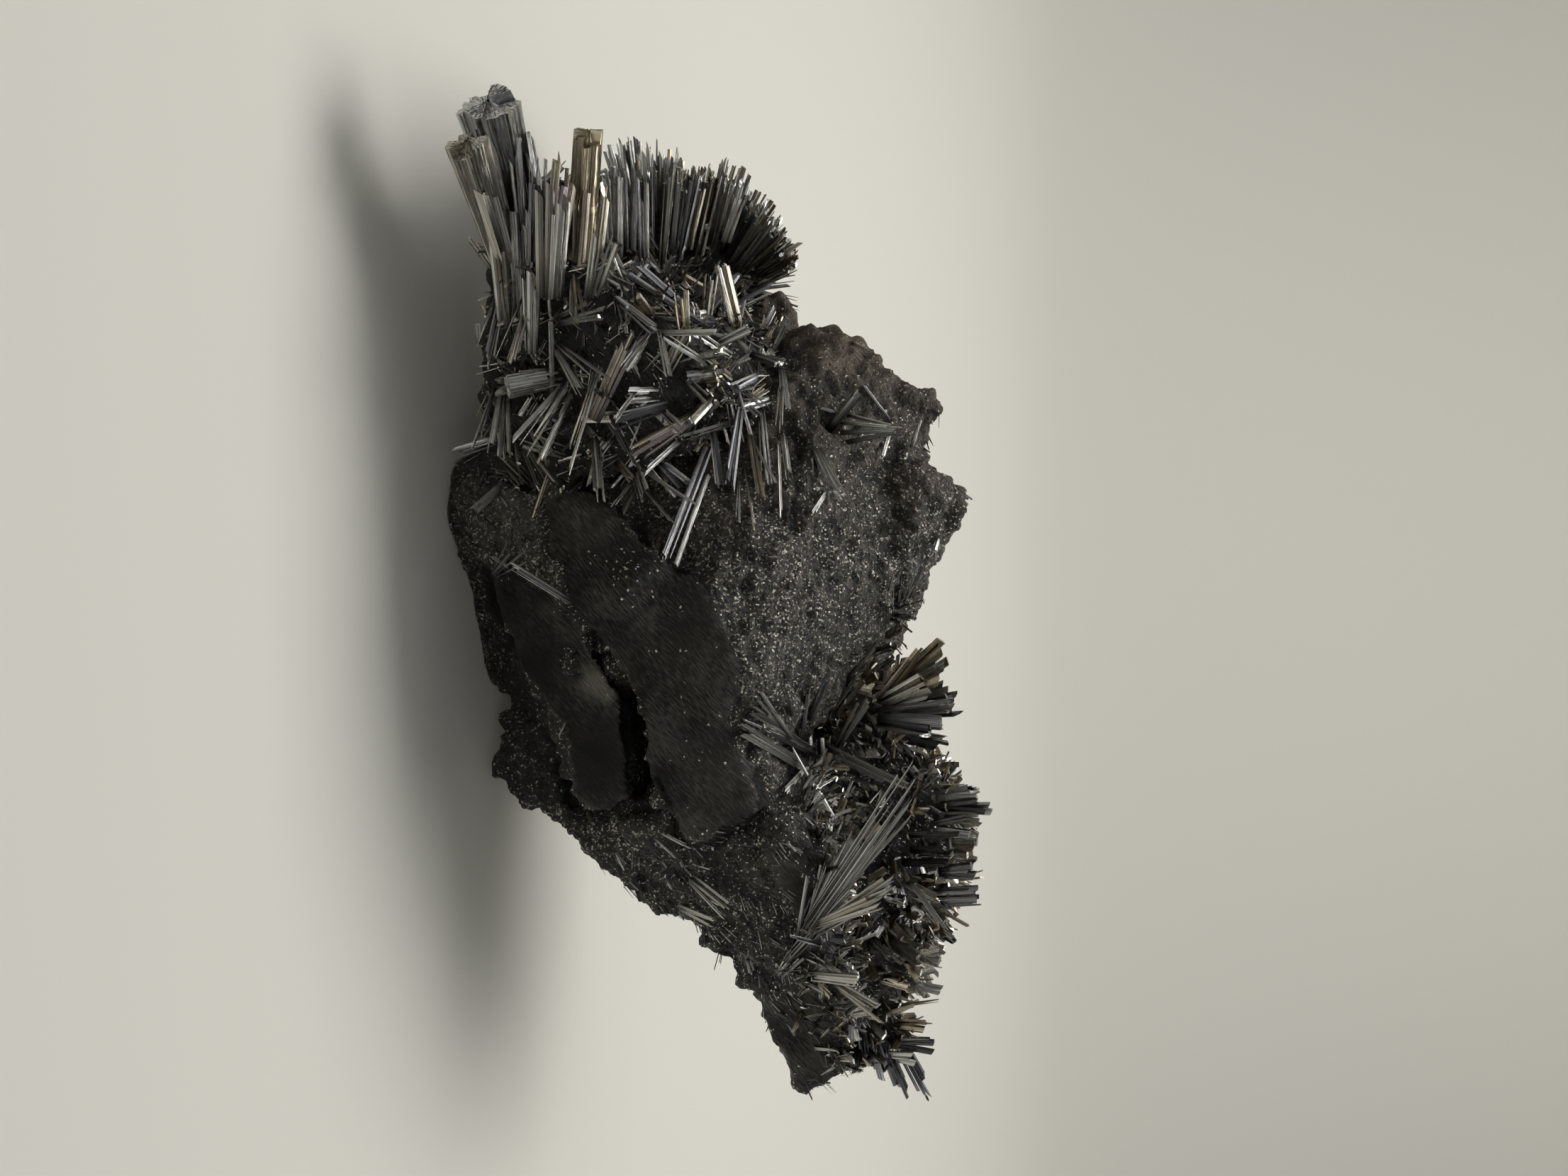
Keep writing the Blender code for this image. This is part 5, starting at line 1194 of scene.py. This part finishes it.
# %% Prisms
# root, tip, radius at the root, radius at the tip, flatness, rods in the ring, how uneven the end is, tone
PRISMS = {
    "prism_rear": (seen(-41.0, -30.6, -21.0), seen(-57.4, -35.0, -33.0), 2.4, 3.6, 0.95, 6, 0.5, 0.2),
    "prism_front": (seen(-37.5, -32.6, -25.5), seen(-53.0, -37.2, -36.0), 1.8, 3.1, 0.8, 9, 0.9, 0.5),
    "prism_upper": (seen(-33.5, -24.2, -21.0), seen(-54.0, -22.9, -28.0), 2.3, 2.2, 0.8, 11, 0.8, 0.66),
    "prism_stub": (seen(-24.5, -28.0, -23.4), seen(-23.6, -32.6, -26.0), 1.3, 1.45, 0.85, 7, 0.2, 0.27),
}
AROUND, ALONG, CAP = 132, 30, 9  # points around, and steps along the sides and over the end
RIBS = 4  # to each rod


def make_prism(name, root, tip, radius_root, radius_tip, flatness, rods, uneven, tone):
    rng = np.random.default_rng(len(name) + rods)
    axis = (tip - root).normalized()
    side = axis.cross(UP).normalized()
    other = axis.cross(side)
    length = (tip - root).length
    angle = np.arange(AROUND) / AROUND * math.tau
    rib = (angle / math.tau * rods * RIBS).astype(int)
    own = rib // RIBS
    ends = rng.uniform(0, 1, rods) * uneven
    proud = rng.uniform(0.0, 0.16, rods * RIBS)
    six_sided = math.cos(math.pi / 6) / np.cos((angle + 0.3) % (math.pi / 3) - math.pi / 6)
    reach = six_sided * (1.06 - proud[rib])
    shape = bmesh.new()
    uv = shape.loops.layers.uv.new("along")
    rings = []
    for k in range(ALONG + 1):
        share = k / ALONG
        radius = radius_root + (radius_tip - radius_root) * share ** 1.3
        radius *= 1 - (0.06 if share > 0.6 and name == "prism_upper" else 0.0)
        ring = []
        for i in range(AROUND):
            far = reach[i] * radius * (1 + 0.02 * noise.noise(Vector((i * 0.9, share * 9, rods))))
            cut = share * (length - ends[own[i]] * radius_tip)
            out = side * math.cos(angle[i]) + other * math.sin(angle[i]) * flatness
            point = root + axis * cut + out * far
            ring.append(shape.verts.new(point * MM))
        rings.append(ring)
    for k in range(CAP):
        inward = 1 - (k + 1) / (CAP + 1)
        ring = []
        for i in range(AROUND):
            far = reach[i] * radius * inward
            drop = ends[own[i]] * min(1.0, inward * 3) + 0.02 * rng.uniform(-1, 1)
            out = side * math.cos(angle[i]) + other * math.sin(angle[i]) * flatness
            point = root + axis * (length - drop * radius_tip) + out * far
            ring.append(shape.verts.new(point * MM))
        rings.append(ring)
    for k, (low, high) in enumerate(zip(rings, rings[1:])):
        for i in range(AROUND):
            j = (i + 1) % AROUND
            face = shape.faces.new((low[i], low[j], high[j], high[i]))
            for loop, (u, v) in zip(face.loops, ((i, k), (i + 1, k), (i + 1, k + 1), (i, k + 1))):
                loop[uv].uv = (u / AROUND * 3, 0.55 + 0.45 * min(v / ALONG, 1.0))
    shape.faces.new(rings[-1])
    shape.faces.new(rings[0][::-1])
    bmesh.ops.recalc_face_normals(shape, faces=shape.faces[:])
    mesh = bpy.data.meshes.new(name)
    shape.to_mesh(mesh)
    shape.free()
    mark(mesh, tone=np.full(len(mesh.vertices), tone))
    mesh.materials.append(crystal_finish)
    return new_object(name + "_ribbed", mesh)


sheaths = []
for name, sizes in PRISMS.items():
    prism = make_prism(name, *sizes)
    pieces.append((prism, "tarnished_zinkenite", (name,)))
    root, tip, radius_root, radius_tip, *_, tone = sizes
    sheaths.append(spray(root, root.lerp(tip, 0.86), 9, radius_tip * 0.5, spread=0.06,
                         bed=radius_root * 0.85,
                         thin=0.9, flat=0.8, tone=tone, turn=0.5, stagger=radius_tip * 1.2))
    print(name, len(prism.data.polygons) * 2, "triangles")

grow("prism_sheaths", sheaths, "tarnished_zinkenite", (), 16)

# %% [markdown]
# ## The stage
# The specimen stands on a pale matt sheet that curves up behind it. A large soft light hangs over it,
# a little to the back, and a weaker one at the left makes the second shadow, to the right. Metal shows
# what it mirrors: the room is bright above, dark near the floor, and a wide dim window in front gives the
# upright crystals something pale to mirror.

# %% Floor, backdrop and lights
paper = bpy.data.materials.new("pale_matt_paper")
paper.use_nodes = True
look = paper.node_tree
look.nodes["Principled BSDF"].inputs["Base Color"].default_value = linear("#e0ded5")
look.nodes["Principled BSDF"].inputs["Roughness"].default_value = 0.85
sheet = bmesh.new()
FLOOR_BACK, BEND, WALL_TOP = 0.36, 0.16, 0.9
profile = [(-1.2, 0.0), (FLOOR_BACK, 0.0)]
for angle in np.linspace(0.1, math.pi / 2, 14):
    profile.append((FLOOR_BACK + BEND * math.sin(angle), BEND * (1 - math.cos(angle))))
profile += [(FLOOR_BACK + BEND, WALL_TOP)]
rows = [[sheet.verts.new((x, y, z)) for x in (-1.3, 1.3)] for y, z in profile]
for low, high in zip(rows, rows[1:]):
    sheet.faces.new((low[0], low[1], high[1], high[0])).smooth = True
mesh = bpy.data.meshes.new("paper_sweep")
sheet.to_mesh(mesh)
sheet.free()
sweep = new_object("paper_sweep", mesh)
sweep.data.materials.append(paper)
sweep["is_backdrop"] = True


def area_light(name, place, target, size, power, colour="#ffffff"):
    lamp = bpy.data.objects.new(name, bpy.data.lights.new(name, "AREA"))
    lamp.data.shape = "RECTANGLE"
    lamp.data.size, lamp.data.size_y = size
    lamp.data.energy = power
    lamp.data.color = linear(colour)[:3]
    lamp.location = place
    lamp.rotation_euler = (Vector(place) - Vector(target)).to_track_quat("Z", "Y").to_euler()
    bpy.context.scene.collection.objects.link(lamp)


area_light("overhead", (-0.02, 0.14, 0.44), (-0.02, 0.02, 0.0), (0.34, 0.30), 1.55, "#fffefb")
area_light("left_soft", (-0.30, -0.12, 0.60), (0, 0, 0.03), (0.22, 0.22), 0.2, "#fbfcff")
area_light("window_in_front", (0.12, -0.66, 0.36), (0, 0, 0.03), (0.34, 0.26), 0.5, "#ffffff")
area_light("backdrop_wash", (0.0, 0.12, 0.36), (0.0, 0.52, 0.24), (0.5, 0.12), 0.1, "#ffffff")
bpy.data.lights["backdrop_wash"].spread = math.radians(75)
world = bpy.data.worlds.new("room")
world.use_nodes = True
room = world.node_tree
height = add(room, "ShaderNodeTexCoord", output="Generated")
height = add(room, "ShaderNodeSeparateXYZ", [("Vector", height)], output="Z")
glow = add(room, "ShaderNodeMapRange", [("Value", height), ("From Min", 0.0), ("From Max", 1.0),
                                        ("To Min", 0.015), ("To Max", 0.34)])
room.nodes["Background"].inputs["Color"].default_value = linear("#f2f2f0")
room.links.new(glow, room.nodes["Background"].inputs["Strength"])
bpy.context.scene.world = world

# %% Hand the pieces to the frame
for shape in SHAPES:
    bpy.data.objects.remove(shape)
for piece, slot, replaced in pieces:
    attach(piece, "root")
    if replaced:
        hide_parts(*replaced)
new_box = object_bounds()
print("CAD box, then the dressed box, in mm:")
for box in (cad_box, new_box):
    print([round(v / MM, 1) for corner in box for v in corner])
print("triangles in all:", sum(len(piece.data.loop_triangles) for piece, _, _ in pieces))
